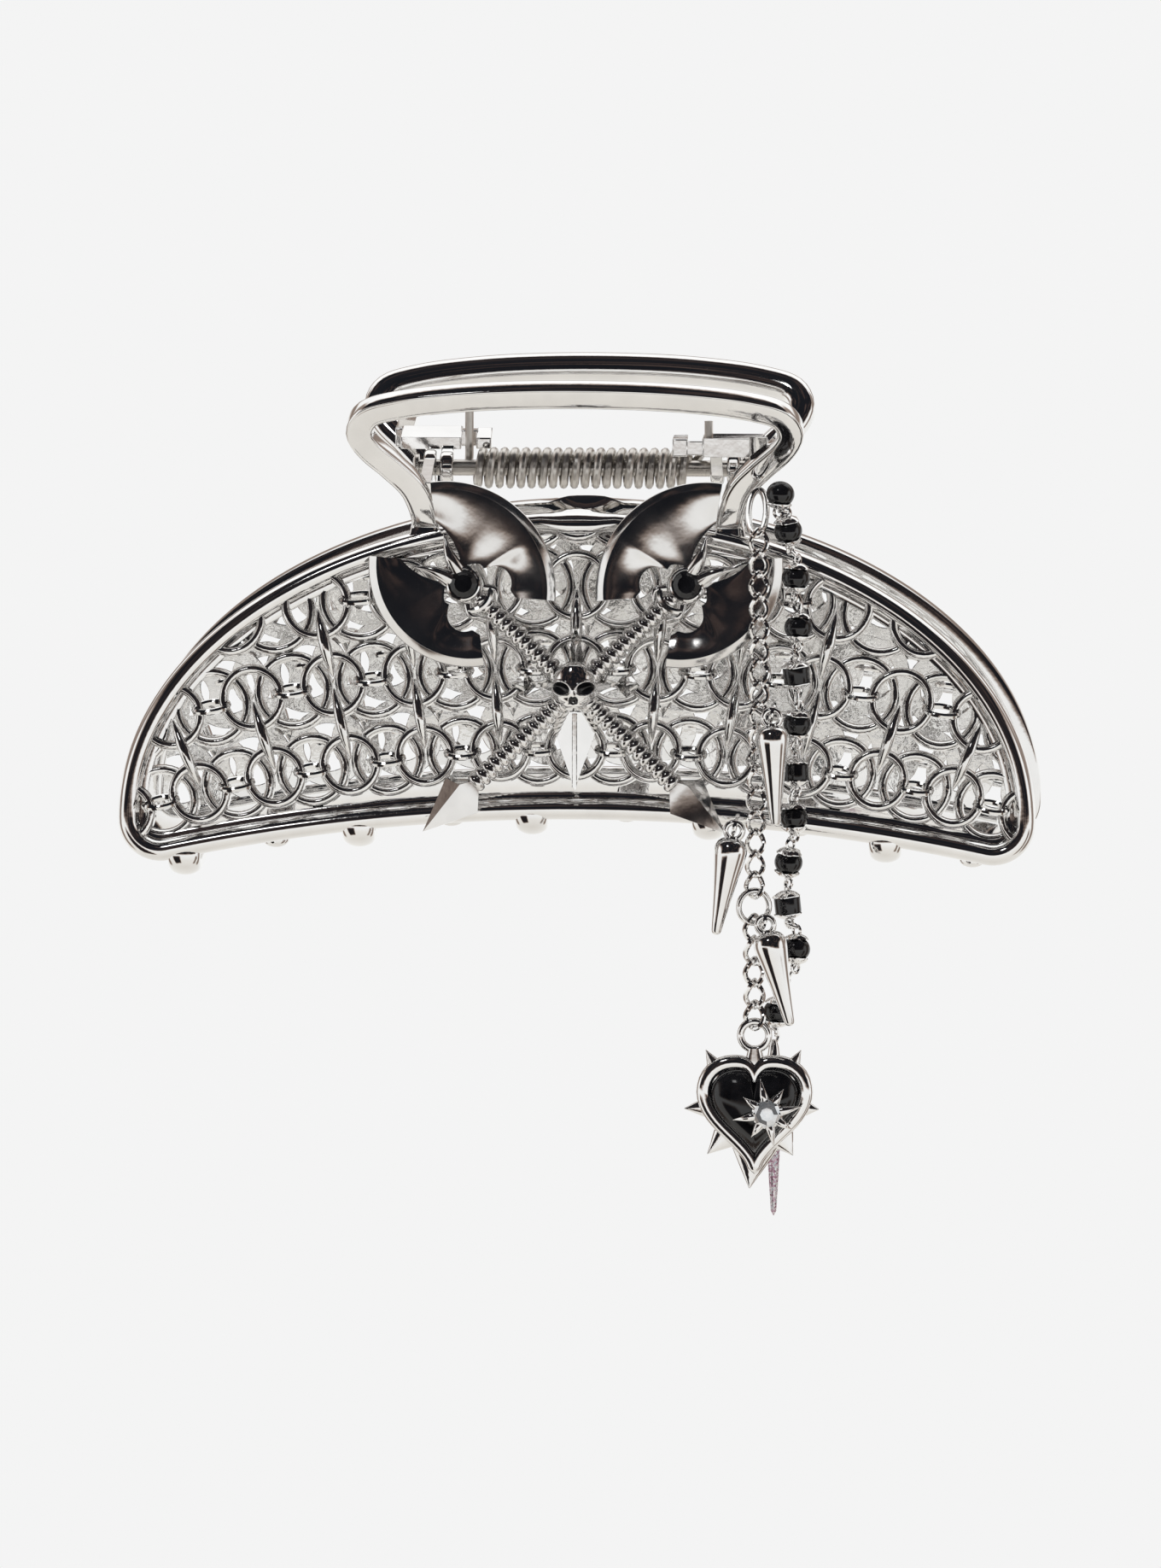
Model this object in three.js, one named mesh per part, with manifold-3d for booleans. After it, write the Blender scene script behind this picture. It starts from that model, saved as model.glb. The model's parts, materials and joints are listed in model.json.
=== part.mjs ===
// Large chrome-plated claw hair clip with a chainmail pattern, crossed axes, a skull and two hanging strands.
// Millimetres, +X along the clip, -Y towards the front jaw, +Z up.
// The origin is the middle of the hair space.
import * as THREE from 'three';
import { ConvexGeometry } from 'three/addons/geometries/ConvexGeometry.js';
import { mergeVertices } from 'three/addons/utils/BufferGeometryUtils.js';
import Module from 'manifold-3d';

const wasm = await Module();
wasm.setup();

// ---- Driving dimensions -------------------------------------------------------------------------------
const HINGE_HEIGHT = 24; // hinge axis above the origin
const GAP = 0.3; // clearance between separate pieces

// Jaw shell: a bowed plate, described by its distance in front of the hinge axis
const WAIST_Z = -6; // height, from the hinge, where handle and shell meet
const WAIST_OUT = 10;
const SHELL_DROP = 40; // height of the shell below the waist
const SHELL_FLARE = 5; // how much further out its lower edge is
const SHELL_BULGE = 1;
const SHELL_BOW = 1200; // radius of the sideways bow
const HANDLE_SLOPE = 0.45;
const HANDLE_CURL = 0.011;

// Half-moon frame
const FRAME_HALF_LENGTH = 53.8;
const FRAME_RISE = 35.7;
const FRAME_BASE_Z = -40;
const LOWER_EDGE_RADIUS = 225;
const FRAME_CORNER = 5;
const FRAME_WIDTH = 3.3;
const FRAME_THICKNESS = 3;

// Chainmail panel inside the frame
const MAIL_THICKNESS = 1.6;
const MAIL_PITCH = 9.5;
const MAIL_ROW = 9.3;
const MAIL_MIDDLE_Z = -22.9;
const MAIL_OPENING = 3.6;
const MAIL_EDGE = 0.3;
const MAIL_FAN_RADIUS = 118; // the columns lean in towards a point this far below the middle row

// Handle loop: half of its centre line, from the foot to the middle of the finger bar
const HANDLE_WIDTH = 3.1;
const HANDLE_THICKNESS = 2.6;
const HANDLE_LINE = [
  [17.9, -5.9], [17.9, -4.6], [19.1, -1.2], [21.4, 1.3], [24.1, 3.8], [25.1, 5.4], [25.1, 6.5],
  [24.1, 7.9], [20.6, 9], [12.1, 10.05], [0, 10.45],
];

// Hinge: a pin through four lugs, with a torsion spring around it
const PIN_RADIUS = 0.95;
const PIN_HALF_LENGTH = 19.2;
const PIN_HEAD_RADIUS = 1.7;
const PIN_HEAD = 0.7;
const LUG_RADIUS = 2.5;
const LUG_THICKNESS = 1.5;
const LUG_FOOT = [-3.4, -0.4]; // bottom and top of a lug where it meets the handle
const INNER_LUG_X = 16;
const OUTER_LUG_X = 17.85;
const ARM_INNER_X = 12.2;
const ARM_OUTER_X = 20.6;
const ARM_BACK = 3; // distance from the hinge axis to the spring arm's near face
const ARM_FRONT = 6.6;
const ARM_BOTTOM = 1.9;
const ARM_TOP = 4.3;
const SPRING_TURNS = 20;
const SPRING_WIRE = 0.52;
const SPRING_RADIUS = 1.95;
const SPRING_HALF_LENGTH = 12.6;
const SPRING_LEG_X = 13.6;
const SPRING_LONG_LEG = 9.6;
const SPRING_SHORT_LEG = 5.6;

// Teeth, front jaw, by distance along the clip
const TOOTH_X = [-46, -25.5, -5.2, 15.5, 36.2];
const TOOTH_WIDTH = 3.8;
const TOOTH_REACH = 15.5;
const TOOTH_DROP = 2.7;

// Ornaments on the front jaw, layered outwards from the shell's mid surface
const AXE_HUB_X = 13.05;
const AXE_HUB_Z = -12.4;
const AXE_TILT = 0.815; // turn of each haft away from upright
const AXE_OUT = 3.5;
const BLADE_RADIUS = 12.4;
const BLADE_SPREAD = 0.89; // half the angle that a blade's edge spans
const BLADE_CENTRE_ALONG = -1; // middle of a blade's edge circle, along the haft and across it
const BLADE_CENTRE_ACROSS = -2.1;
const BLADE_THICKNESS = 1.4;
const COLLAR_RADIUS = 2.2; // boss at the middle of an axe head
const COLLAR_THICKNESS = 1.9;
const HAFT_RADIUS = 1.05;
const HAFT_LENGTH = 36.6; // from the hub to the ridge of the pommel
const POMMEL_NECK = 3.3;
const POMMEL_TIP = 5.5;
const POMMEL_HALF_WIDTH = 2.7;
const STAR_BACK = 0.95;
const STAR_THICKNESS = 0.6;
const STAR_REACH = [8, 12.3, 6.3]; // up, down and sideways
const SKULL_Z = -24;
const SKULL_BACK = 4.7;
const GEM_RADIUS = 1.9;
const GEM_SEAT = 4.8;
const GEM_THICKNESS = 1.2;

// Hanging strands, each in its own layer in front of the jaw
const BEAD_LAYER = 18.9;
const CHAIN_LAYER = 22.1;
const SPIKE_LAYER = 25.6;
const HEART_BACK = 21;
const ANCHOR_X = 21.4;
const ANCHOR_TOP = [14.9, -1.2]; // distance in front of the hinge, and height
const ANCHOR_BOTTOM = [22.1, -5.9];
const ANCHOR_HALF_WIDTH = 1.4;
const ANCHOR_WIRE = 0.42;
const LINK_LENGTH = 1.45; // half the length and half the width of a link, to the middle of the wire
const LINK_WIDTH = 0.9;
const LINK_WIRE = 0.28;
const LINK_STEP = 2.7;
const RUN_STEP = 1.9; // from the last link of a run to the first of the next
const CHAIN_TOP = -4.8;
const CHAIN_RUNS = [[5, 21.7], [4, 21.9], [4, 21.6], [4, 21.3]]; // links in each run, and where it hangs
const JUMP_RING_RADIUS = 1.8;
const JUMP_RING_WIRE = 0.35;
const LOWER_RUN = [5, 21.2];
const HOOK_OVERLAP = 1; // how far one loop's wire hangs inside the next loop
const SPIKES = [[23.4, -26.5, 0.08], [19.1, -39.7, -0.235], [22.6, -50.7, 0.29]]; // x, z of the eye, lean
const SPIKE_LENGTH = 12.8;
const BEAD_RADIUS = 1.6;
const BEAD_HALF_LENGTH = 2;
const BEADS = [
  [24.1, -1.3], [25, -5.6], [25.9, -11.1], [26.2, -16.9], [26, -22.4], [26.1, -28.2],
  [25.9, -33.9], [25.7, -39.2], [25.1, -44.4], [25, -49.4], [26, -54.6], [23.8, -62],
];
const GLITTER_X = 23.4;
const GLITTER_TOP = -65.2;
const GLITTER_TIP = -86;
const HEART_X = 21.3;
const HEART_Z = -72.2;
const HEART_RING_Z = -64.4;
const HEART_RING_RADIUS = 1.6;
const STONE_SIZE = 5.1;
const BEZEL_SIZE = 6.1;
const BEZEL_THICKNESS = 2;
const STONE_DOME = 2.4;
const BEZEL_THORNS = [
  [-5.3, 5.9], [5.3, 5.9], [7.4, -0.6], [4.6, -5.9], [-0.3, -9.6], [-4.6, -5.9], [-7.4, -0.6],
];
const THORN_ROOT = 1.1; // half-width of a thorn where it leaves the setting
const SETTING_AT = [1.6, -1];

// ---- Finishes -----------------------------------------------------------------------------------------
const chrome = () => new THREE.MeshStandardMaterial({ color: 0xcfcdc8, roughness: 0.12, metalness: 1 });
const steel = () => new THREE.MeshStandardMaterial({ color: 0xb9b8b4, roughness: 0.22, metalness: 1 });
const blackGloss = () => new THREE.MeshStandardMaterial({ color: 0x08080a, roughness: 0.08, metalness: 0 });
const clearStone = () => new THREE.MeshStandardMaterial({ color: 0xe9edf2, roughness: 0.03, metalness: 0.1 });
const glitter = () => new THREE.MeshStandardMaterial({ color: 0xc9b4c4, roughness: 0.35, metalness: 0.6 });

// ---- Helpers ------------------------------------------------------------------------------------------
function solidOf(geometry) {
  const bare = geometry.clone();
  bare.deleteAttribute('normal');
  bare.deleteAttribute('uv');
  const merged = mergeVertices(bare, 1e-4);
  const vertProperties = new Float32Array(merged.attributes.position.array);
  const corners = Array.from(merged.index.array);
  const whole = (i) => new Set(corners.slice(3 * i, 3 * i + 3)).size === 3;
  const triVerts = new Uint32Array(corners.filter((corner, at) => whole(Math.floor(at / 3))));
  return new wasm.Manifold(new wasm.Mesh({ numProp: 3, vertProperties, triVerts }));
}

function geometryOf(solid) {
  const mesh = solid.getMesh();
  const geometry = new THREE.BufferGeometry();
  geometry.setAttribute('position', new THREE.BufferAttribute(new Float32Array(mesh.vertProperties), 3));
  geometry.setIndex(new THREE.BufferAttribute(new Uint32Array(mesh.triVerts), 1));
  return geometry;
}

const union = (geometries) => geometryOf(geometries.map(solidOf).reduce((all, next) => all.add(next)));
const cut = (geometry, tools) =>
  geometryOf(tools.map(solidOf).reduce((rest, tool) => rest.subtract(tool), solidOf(geometry)));

function piece(name, geometry, finish) {
  const mesh = new THREE.Mesh(geometry, finish);
  mesh.name = name;
  return mesh;
}

// Distance of the jaw's mid surface in front of the hinge axis
function shellOut(x, z) {
  const above = z - WAIST_Z;
  const share = -above / SHELL_DROP;
  const rise =
    above > 0
      ? HANDLE_SLOPE * above + HANDLE_CURL * above * above
      : SHELL_FLARE * share + 4 * SHELL_BULGE * share * (1 - share);
  return WAIST_OUT + rise - (x * x) / (2 * SHELL_BOW);
}

// Lean of the shell between two heights: how far its lower edge stands out, as an angle
const shellLean = (top, bottom) => Math.atan((shellOut(0, bottom) - shellOut(0, top)) / (top - bottom));

function bowToShell(geometry) {
  const position = geometry.attributes.position;
  for (let i = 0; i < position.count; i += 1) {
    const out = shellOut(position.getX(i), position.getZ(i));
    position.setY(i, position.getY(i) - out);
  }
  return geometry;
}

// A flat shape drawn in x and z, extruded towards the front from `back` to `back + thickness`
function facePlate(shape, thickness, back) {
  const options = { depth: thickness, bevelEnabled: false, curveSegments: 6 };
  const geometry = new THREE.ExtrudeGeometry(shape, options);
  return geometry.rotateX(Math.PI / 2).translate(0, -back, 0);
}

// A flat shape drawn in distance-to-the-front and z, extruded across x about `centre`
function sidePlate(shape, width, centre) {
  const geometry = new THREE.ExtrudeGeometry(shape, { depth: width, bevelEnabled: false, curveSegments: 6 });
  const turn = new THREE.Matrix4().makeBasis(
    new THREE.Vector3(0, -1, 0),
    new THREE.Vector3(0, 0, 1),
    new THREE.Vector3(-1, 0, 0),
  );
  return geometry.applyMatrix4(turn).translate(centre + width / 2, 0, 0);
}

function box(x0, x1, out0, out1, z0, z1) {
  const geometry = new THREE.BoxGeometry(x1 - x0, out1 - out0, z1 - z0);
  return geometry.translate((x0 + x1) / 2, -(out0 + out1) / 2, (z0 + z1) / 2);
}

function circleHole(x, z, radius, sides, turn = 0) {
  const points = [];
  for (let i = 0; i < sides; i += 1) {
    const angle = turn - (2 * Math.PI * i) / sides;
    points.push(new THREE.Vector2(x + radius * Math.cos(angle), z + radius * Math.sin(angle)));
  }
  return points;
}

// A ring of round wire standing in a vertical plane, turned about its own vertical by `turn`
function ring(halfWidth, halfHeight, wire, turn, sides = 8) {
  const geometry = new THREE.TorusGeometry(halfHeight, wire, 5, sides);
  return geometry.scale(halfWidth / halfHeight, 1, 1).rotateX(Math.PI / 2).rotateZ(turn);
}

// ---- Jaw ----------------------------------------------------------------------------------------------
// Half-moon outline, moved inwards by `inset`: an elliptical top, a hollow lower edge and rounded corners
function frameOutline(inset, sides = 40) {
  const halfLength = FRAME_HALF_LENGTH - inset;
  const rise = FRAME_RISE - inset;
  const corner = Math.max(FRAME_CORNER - inset, 1.4);
  const edgeRadius = LOWER_EDGE_RADIUS + inset;
  const edgeCentre = FRAME_BASE_Z - LOWER_EDGE_RADIUS;
  const cornerX = halfLength - corner;
  const cornerZ = edgeCentre + Math.sqrt((edgeRadius + corner) ** 2 - cornerX ** 2);
  const start = Math.max(0, Math.asin((cornerZ - FRAME_BASE_Z) / rise));
  const edgeAngle = Math.atan2(cornerX, cornerZ - edgeCentre);
  const points = [];
  for (let i = 0; i <= sides; i += 1) {
    const angle = start + ((Math.PI - 2 * start) * i) / sides;
    points.push([halfLength * Math.cos(angle), FRAME_BASE_Z + rise * Math.sin(angle)]);
  }
  const cornerSides = 4;
  for (let i = 1; i <= cornerSides; i += 1) {
    const angle = Math.PI + ((Math.PI / 2 + edgeAngle) * i) / cornerSides;
    points.push([-cornerX + corner * Math.cos(angle), cornerZ + corner * Math.sin(angle)]);
  }
  const edgeSides = 16;
  for (let i = 1; i < edgeSides; i += 1) {
    const angle = -edgeAngle + (2 * edgeAngle * i) / edgeSides;
    points.push([edgeRadius * Math.sin(angle), edgeCentre + edgeRadius * Math.cos(angle)]);
  }
  for (let i = 0; i < cornerSides; i += 1) {
    const angle = 1.5 * Math.PI - edgeAngle + ((Math.PI / 2 + edgeAngle) * i) / cornerSides;
    points.push([cornerX + corner * Math.cos(angle), cornerZ + corner * Math.sin(angle)]);
  }
  return points.map(([x, z]) => new THREE.Vector2(x, z));
}

function frameGeometry() {
  const shape = new THREE.Shape(frameOutline(0));
  shape.holes.push(new THREE.Path(frameOutline(FRAME_WIDTH).reverse()));
  return bowToShell(facePlate(shape, FRAME_THICKNESS, -FRAME_THICKNESS / 2));
}

// Whether a point lies inside the half-moon when its outline is moved inwards by `inset`
function insideFrame(x, z, inset) {
  const along = x / (FRAME_HALF_LENGTH - inset);
  const up = (z - FRAME_BASE_Z) / (FRAME_RISE - inset);
  const fromEdge = Math.hypot(x, z - FRAME_BASE_Z + LOWER_EDGE_RADIUS) - LOWER_EDGE_RADIUS;
  return along * along + Math.max(up, 0) ** 2 < 1 && fromEdge > inset;
}

// Panel of linked rings, as a plate with one opening for each ring
function mailGeometry() {
  const edge = FRAME_WIDTH + GAP;
  const shape = new THREE.Shape(frameOutline(edge));
  for (let row = -2; row <= 2; row += 1) {
    const reach = MAIL_FAN_RADIUS + row * MAIL_ROW;
    for (let column = -6; column <= 6; column += 1) {
      const angle = ((column + (row % 2 ? 0.5 : 0)) * MAIL_PITCH) / MAIL_FAN_RADIUS;
      const x = reach * Math.sin(angle);
      const z = MAIL_MIDDLE_Z - MAIL_FAN_RADIUS + reach * Math.cos(angle);
      const hole = circleHole(x, z, MAIL_OPENING, 6, angle);
      if (hole.every((point) => insideFrame(point.x, point.y, edge + MAIL_EDGE))) {
        shape.holes.push(new THREE.Path(hole));
      }
    }
  }
  return bowToShell(facePlate(shape, MAIL_THICKNESS, -MAIL_THICKNESS / 2));
}

function handleGeometry() {
  const left = HANDLE_LINE.map(([x, z]) => new THREE.Vector3(-x, z, 0));
  const right = HANDLE_LINE.slice(0, -1).reverse().map(([x, z]) => new THREE.Vector3(x, z, 0));
  const line = new THREE.CatmullRomCurve3([...left, ...right], false, 'centripetal');
  const steps = 56;
  const outer = [];
  const inner = [];
  for (let i = 0; i <= steps; i += 1) {
    const point = line.getPointAt(i / steps);
    const along = line.getTangentAt(i / steps);
    const side = new THREE.Vector2(-along.y, along.x).multiplyScalar(HANDLE_WIDTH / 2);
    outer.push(new THREE.Vector2(point.x, point.y).add(side));
    inner.push(new THREE.Vector2(point.x, point.y).sub(side));
  }
  const shape = new THREE.Shape([...outer, ...inner.reverse()]);
  return bowToShell(facePlate(shape, HANDLE_THICKNESS, -HANDLE_THICKNESS / 2));
}

// Plain lug: a link plate from the hinge pin out to the handle's foot
function lugShape(footOut, footBottom, footTop) {
  const shape = new THREE.Shape();
  shape.moveTo(footOut, footBottom);
  shape.lineTo(footOut, footTop);
  shape.lineTo(0, LUG_RADIUS);
  shape.absarc(0, 0, LUG_RADIUS, Math.PI / 2, 1.5 * Math.PI, false);
  shape.closePath();
  shape.holes.push(new THREE.Path(circleHole(0, 0, PIN_RADIUS + GAP, 12)));
  return shape;
}

function lugGeometry() {
  const footOut = shellOut(OUTER_LUG_X, LUG_FOOT[0]) - HANDLE_THICKNESS / 2 - GAP;
  return sidePlate(lugShape(footOut, ...LUG_FOOT), LUG_THICKNESS, -OUTER_LUG_X);
}

// Spring arm: a bar above the hinge with a hole for the spring's leg, a lug below it and a web to the handle
function springArmGeometry() {
  const bar = box(ARM_INNER_X, ARM_OUTER_X, ARM_BACK, ARM_FRONT, ARM_BOTTOM, ARM_TOP);
  const webWidth = 2.6;
  const webOut = shellOut(ARM_OUTER_X, ARM_BOTTOM) - HANDLE_THICKNESS / 2 - GAP;
  const web = box(ARM_OUTER_X - webWidth, ARM_OUTER_X, ARM_FRONT - 1, webOut, ARM_BOTTOM, ARM_TOP);
  const lug = sidePlate(lugShape(ARM_FRONT - 0.5, ARM_BOTTOM, ARM_TOP - 0.5), LUG_THICKNESS, INNER_LUG_X);
  const slot = SPRING_WIRE + GAP;
  const legHole = box(SPRING_LEG_X - slot, SPRING_LEG_X + slot, 0, ARM_FRONT - 1.2, 0, ARM_TOP + 1);
  return cut(union([bar, web, lug]), [legHole]);
}

// Tooth: a hook that leaves the lower edge downwards and reaches in under the hair
function toothGeometry(x) {
  const farSide = Math.abs(x) + TOOTH_WIDTH / 2;
  const edge = FRAME_BASE_Z - LOWER_EDGE_RADIUS + Math.sqrt(LOWER_EDGE_RADIUS ** 2 - farSide ** 2);
  const rootOut = shellOut(x, edge);
  const top = edge - GAP;
  const bottom = edge - TOOTH_DROP;
  const tip = rootOut - TOOTH_REACH;
  const shape = new THREE.Shape();
  shape.moveTo(rootOut + 1.1, top);
  shape.lineTo(rootOut - 1.3, top);
  shape.bezierCurveTo(rootOut - 1.6, bottom + 1.6, rootOut - 4, bottom + 1.9, tip + 1, bottom + 1.7);
  shape.quadraticCurveTo(tip - 0.6, bottom + 1, tip + 0.6, bottom + 0.2);
  shape.lineTo(rootOut - 5, bottom - 0.2);
  shape.bezierCurveTo(rootOut - 1.5, bottom - 0.3, rootOut + 1, bottom + 0.4, rootOut + 1.1, top);
  return sidePlate(shape, TOOTH_WIDTH, x);
}

function buildJaw(side) {
  const jaw = new THREE.Group();
  jaw.add(piece(`${side}_frame`, frameGeometry(), chrome()));
  jaw.add(piece(`${side}_mail_panel`, mailGeometry(), chrome()));
  jaw.add(piece(`${side}_handle`, handleGeometry(), chrome()));
  jaw.add(piece(`${side}_pivot_lug`, lugGeometry(), chrome()));
  jaw.add(piece(`${side}_spring_arm`, springArmGeometry(), chrome()));
  TOOTH_X.forEach((x, i) => jaw.add(piece(`${side}_tooth_${i + 1}`, toothGeometry(x), chrome())));
  return jaw;
}

// ---- Hinge --------------------------------------------------------------------------------------------
function pinGeometry() {
  const profile = [
    [0, -PIN_HALF_LENGTH - PIN_HEAD],
    [PIN_HEAD_RADIUS, -PIN_HALF_LENGTH - PIN_HEAD / 2],
    [PIN_HEAD_RADIUS, -PIN_HALF_LENGTH],
    [PIN_RADIUS, -PIN_HALF_LENGTH],
    [PIN_RADIUS, PIN_HALF_LENGTH],
    [PIN_HEAD_RADIUS, PIN_HALF_LENGTH],
    [PIN_HEAD_RADIUS, PIN_HALF_LENGTH + PIN_HEAD / 2],
    [0, PIN_HALF_LENGTH + PIN_HEAD],
  ].map(([radius, along]) => new THREE.Vector2(radius, along));
  return new THREE.LatheGeometry(profile, 12).rotateZ(-Math.PI / 2);
}

// Centre line of the torsion spring: a long leg up behind the back arm, the coil,
// and a short leg at the front arm
class SpringLine extends THREE.Curve {
  getPoint(share, target = new THREE.Vector3()) {
    const coilLength = 2 * Math.PI * SPRING_RADIUS * SPRING_TURNS;
    const total = SPRING_LONG_LEG + coilLength + SPRING_SHORT_LEG;
    const along = share * total;
    if (along < SPRING_LONG_LEG) {
      return target.set(-SPRING_HALF_LENGTH - 1, SPRING_RADIUS, SPRING_LONG_LEG - along);
    }
    if (along > SPRING_LONG_LEG + coilLength) {
      return target.set(SPRING_HALF_LENGTH + 1, -SPRING_RADIUS, along - SPRING_LONG_LEG - coilLength);
    }
    const turned = (along - SPRING_LONG_LEG) / coilLength;
    const angle = 2 * Math.PI * (SPRING_TURNS - 0.5) * turned;
    const x = -SPRING_HALF_LENGTH - 1 + (2 * SPRING_HALF_LENGTH + 2) * turned;
    return target.set(x, SPRING_RADIUS * Math.cos(angle), -SPRING_RADIUS * Math.sin(angle));
  }
}

function springGeometry() {
  const line = new SpringLine();
  line.arcLengthDivisions = 2400;
  const section = new THREE.Shape(circleHole(0, 0, SPRING_WIRE, 5).reverse());
  return new THREE.ExtrudeGeometry(section, { steps: 230, bevelEnabled: false, extrudePath: line });
}

// ---- Ornaments ----------------------------------------------------------------------------------------
// Places an ornament, drawn upright about its own origin, on the leaning front of the shell
function onShell(geometry, x, z, out, lean = shellLean(z + 1, z - 1)) {
  return geometry.rotateX(-lean).translate(x, -shellOut(x, z) - out, z);
}

const axeLean = () => shellLean(AXE_HUB_Z, AXE_HUB_Z - HAFT_LENGTH * Math.cos(AXE_TILT));

// One crescent of an axe head, drawn with the haft pointing down: `half` is the side that it stands on
function bladeGeometry(half) {
  const tipAlong = BLADE_RADIUS * Math.sin(BLADE_SPREAD);
  const tipAcross = BLADE_CENTRE_ACROSS + BLADE_RADIUS * Math.cos(BLADE_SPREAD);
  const points = [[0.5, 0.6], [2.3, 2.4], [tipAcross, -BLADE_CENTRE_ALONG + tipAlong]];
  const sides = 10;
  for (let i = 1; i < sides; i += 1) {
    const angle = BLADE_SPREAD - (2 * BLADE_SPREAD * i) / sides;
    const across = BLADE_CENTRE_ACROSS + BLADE_RADIUS * Math.cos(angle);
    points.push([across, -BLADE_CENTRE_ALONG + BLADE_RADIUS * Math.sin(angle)]);
  }
  points.push([tipAcross, -BLADE_CENTRE_ALONG - tipAlong], [3.7, -5.6], [3.9, -3.2], [2.6, -1], [0.5, -0.6]);
  const shape = new THREE.Shape(points.map(([across, up]) => new THREE.Vector2(half * across, up)));
  return facePlate(shape, BLADE_THICKNESS, -BLADE_THICKNESS / 2);
}

function pommelGeometry() {
  const corners = [];
  for (const out of [-0.5, 0.5]) {
    corners.push([0, out, POMMEL_NECK], [POMMEL_HALF_WIDTH, out, 0.6], [-POMMEL_HALF_WIDTH, out, 0.6]);
    corners.push([0, out, -POMMEL_TIP]);
  }
  corners.push([0, -1.7, 0]);
  const points = corners.map(([x, y, z]) => new THREE.Vector3(x, y, z));
  return new ConvexGeometry(points).translate(0, 0, -HAFT_LENGTH);
}

// Double-bladed axe. Where the two cross, the left haft keeps its front half and the right its back half
function axeGeometry(side) {
  const haft = new THREE.CylinderGeometry(HAFT_RADIUS, HAFT_RADIUS, HAFT_LENGTH, 8);
  haft.rotateX(Math.PI / 2).translate(0, 0, -HAFT_LENGTH / 2);
  const collar = new THREE.CylinderGeometry(COLLAR_RADIUS, COLLAR_RADIUS, COLLAR_THICKNESS, 12);
  const axe = union([bladeGeometry(1), bladeGeometry(-1), collar, haft, pommelGeometry()]);
  const lap = 2 * HAFT_RADIUS + 2 * GAP;
  const crossingAlong = AXE_HUB_X / Math.sin(AXE_TILT);
  const notch = new THREE.BoxGeometry(lap + 1, lap, lap);
  notch.translate(0, (-side * (lap - GAP)) / 2, -crossingAlong);
  const turned = cut(axe, [notch]).rotateY(side * AXE_TILT);
  return onShell(turned, side * AXE_HUB_X, AXE_HUB_Z, AXE_OUT, axeLean());
}

function starGeometry() {
  const [up, down, aside] = STAR_REACH;
  const waist = 1.9;
  const outline = [
    [0, up], [waist, waist], [aside, 0], [waist + 1.3, -waist - 1.5], [0, -down],
    [-waist - 1.3, -waist - 1.5], [-aside, 0], [-waist, waist],
  ];
  const shape = new THREE.Shape(outline.reverse().map(([x, z]) => new THREE.Vector2(x, z)));
  return onShell(facePlate(shape, STAR_THICKNESS, 0), 0, SKULL_Z, STAR_BACK);
}

function skullGeometry() {
  const dome = new THREE.SphereGeometry(2.15, 12, 8).scale(1, 0.95, 1).translate(0, -0.6, 0.7);
  const cheeks = new THREE.SphereGeometry(2.65, 12, 8).scale(1, 0.7, 0.55).translate(0, -0.6, -0.6);
  const jaw = box(-1.15, 1.15, 0.2, 2, -2.9, -1);
  const front = box(-4, 4, 0, 5, -4, 4);
  const sockets = [-1.1, 1.1].map((x) => new THREE.SphereGeometry(0.7, 8, 6).translate(x, -2.6, -0.3));
  const skull = geometryOf(solidOf(union([dome, cheeks, jaw])).intersect(solidOf(front)));
  return onShell(cut(skull, sockets), 0, SKULL_Z, SKULL_BACK);
}

function gemGeometry(side) {
  const profile = [[0, 0], [GEM_RADIUS, 0], [GEM_RADIUS, 0.6], [1.2, GEM_THICKNESS], [0, GEM_THICKNESS]];
  const stone = new THREE.LatheGeometry(profile.map(([r, h]) => new THREE.Vector2(r, h)), 12);
  return onShell(stone.rotateX(Math.PI), side * AXE_HUB_X, AXE_HUB_Z, GEM_SEAT, axeLean());
}

// ---- Hanging strands ----------------------------------------------------------------------------------
// Oval ring on the right foot of the handle, from which both strands hang, leaning out over the jaw
function anchorGeometry() {
  const drop = ANCHOR_TOP[1] - ANCHOR_BOTTOM[1];
  const forward = ANCHOR_BOTTOM[0] - ANCHOR_TOP[0];
  const loop = ring(ANCHOR_HALF_WIDTH, Math.hypot(drop, forward) / 2, ANCHOR_WIRE, 0, 14);
  loop.rotateX(-Math.atan2(forward, drop));
  const out = (ANCHOR_TOP[0] + ANCHOR_BOTTOM[0]) / 2;
  return loop.translate(ANCHOR_X, -out, (ANCHOR_TOP[1] + ANCHOR_BOTTOM[1]) / 2);
}

// Run of links, each turned a quarter from the one before and joined to it where their wires touch
function chainGeometry(x, top, count, startTurn) {
  const links = [];
  for (let i = 0; i < count; i += 1) {
    const link = ring(LINK_WIDTH, LINK_LENGTH, LINK_WIRE, startTurn + (i * Math.PI) / 2);
    links.push(link.translate(x, -CHAIN_LAYER, top - LINK_LENGTH - i * LINK_STEP));
  }
  return union(links);
}

// Bullet-shaped spike on an eye, leaning by `lean` towards +X, with its eye at the joint
function spikeGeometry(eyeX, eyeZ, lean) {
  const profile = [[0, -SPIKE_LENGTH], [0.45, 0.3 - SPIKE_LENGTH], [1.95, -2.6], [1.7, -1.7], [0, -1.2]];
  const points = profile.map(([r, h]) => new THREE.Vector2(r, h));
  const cone = new THREE.LatheGeometry(points, 12).rotateX(Math.PI / 2);
  const eye = ring(0.95, 0.95, 0.32, 0, 8).translate(0, 0, -0.4);
  return union([cone, eye]).rotateY(-lean).translate(eyeX, -SPIKE_LAYER, eyeZ);
}

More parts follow.
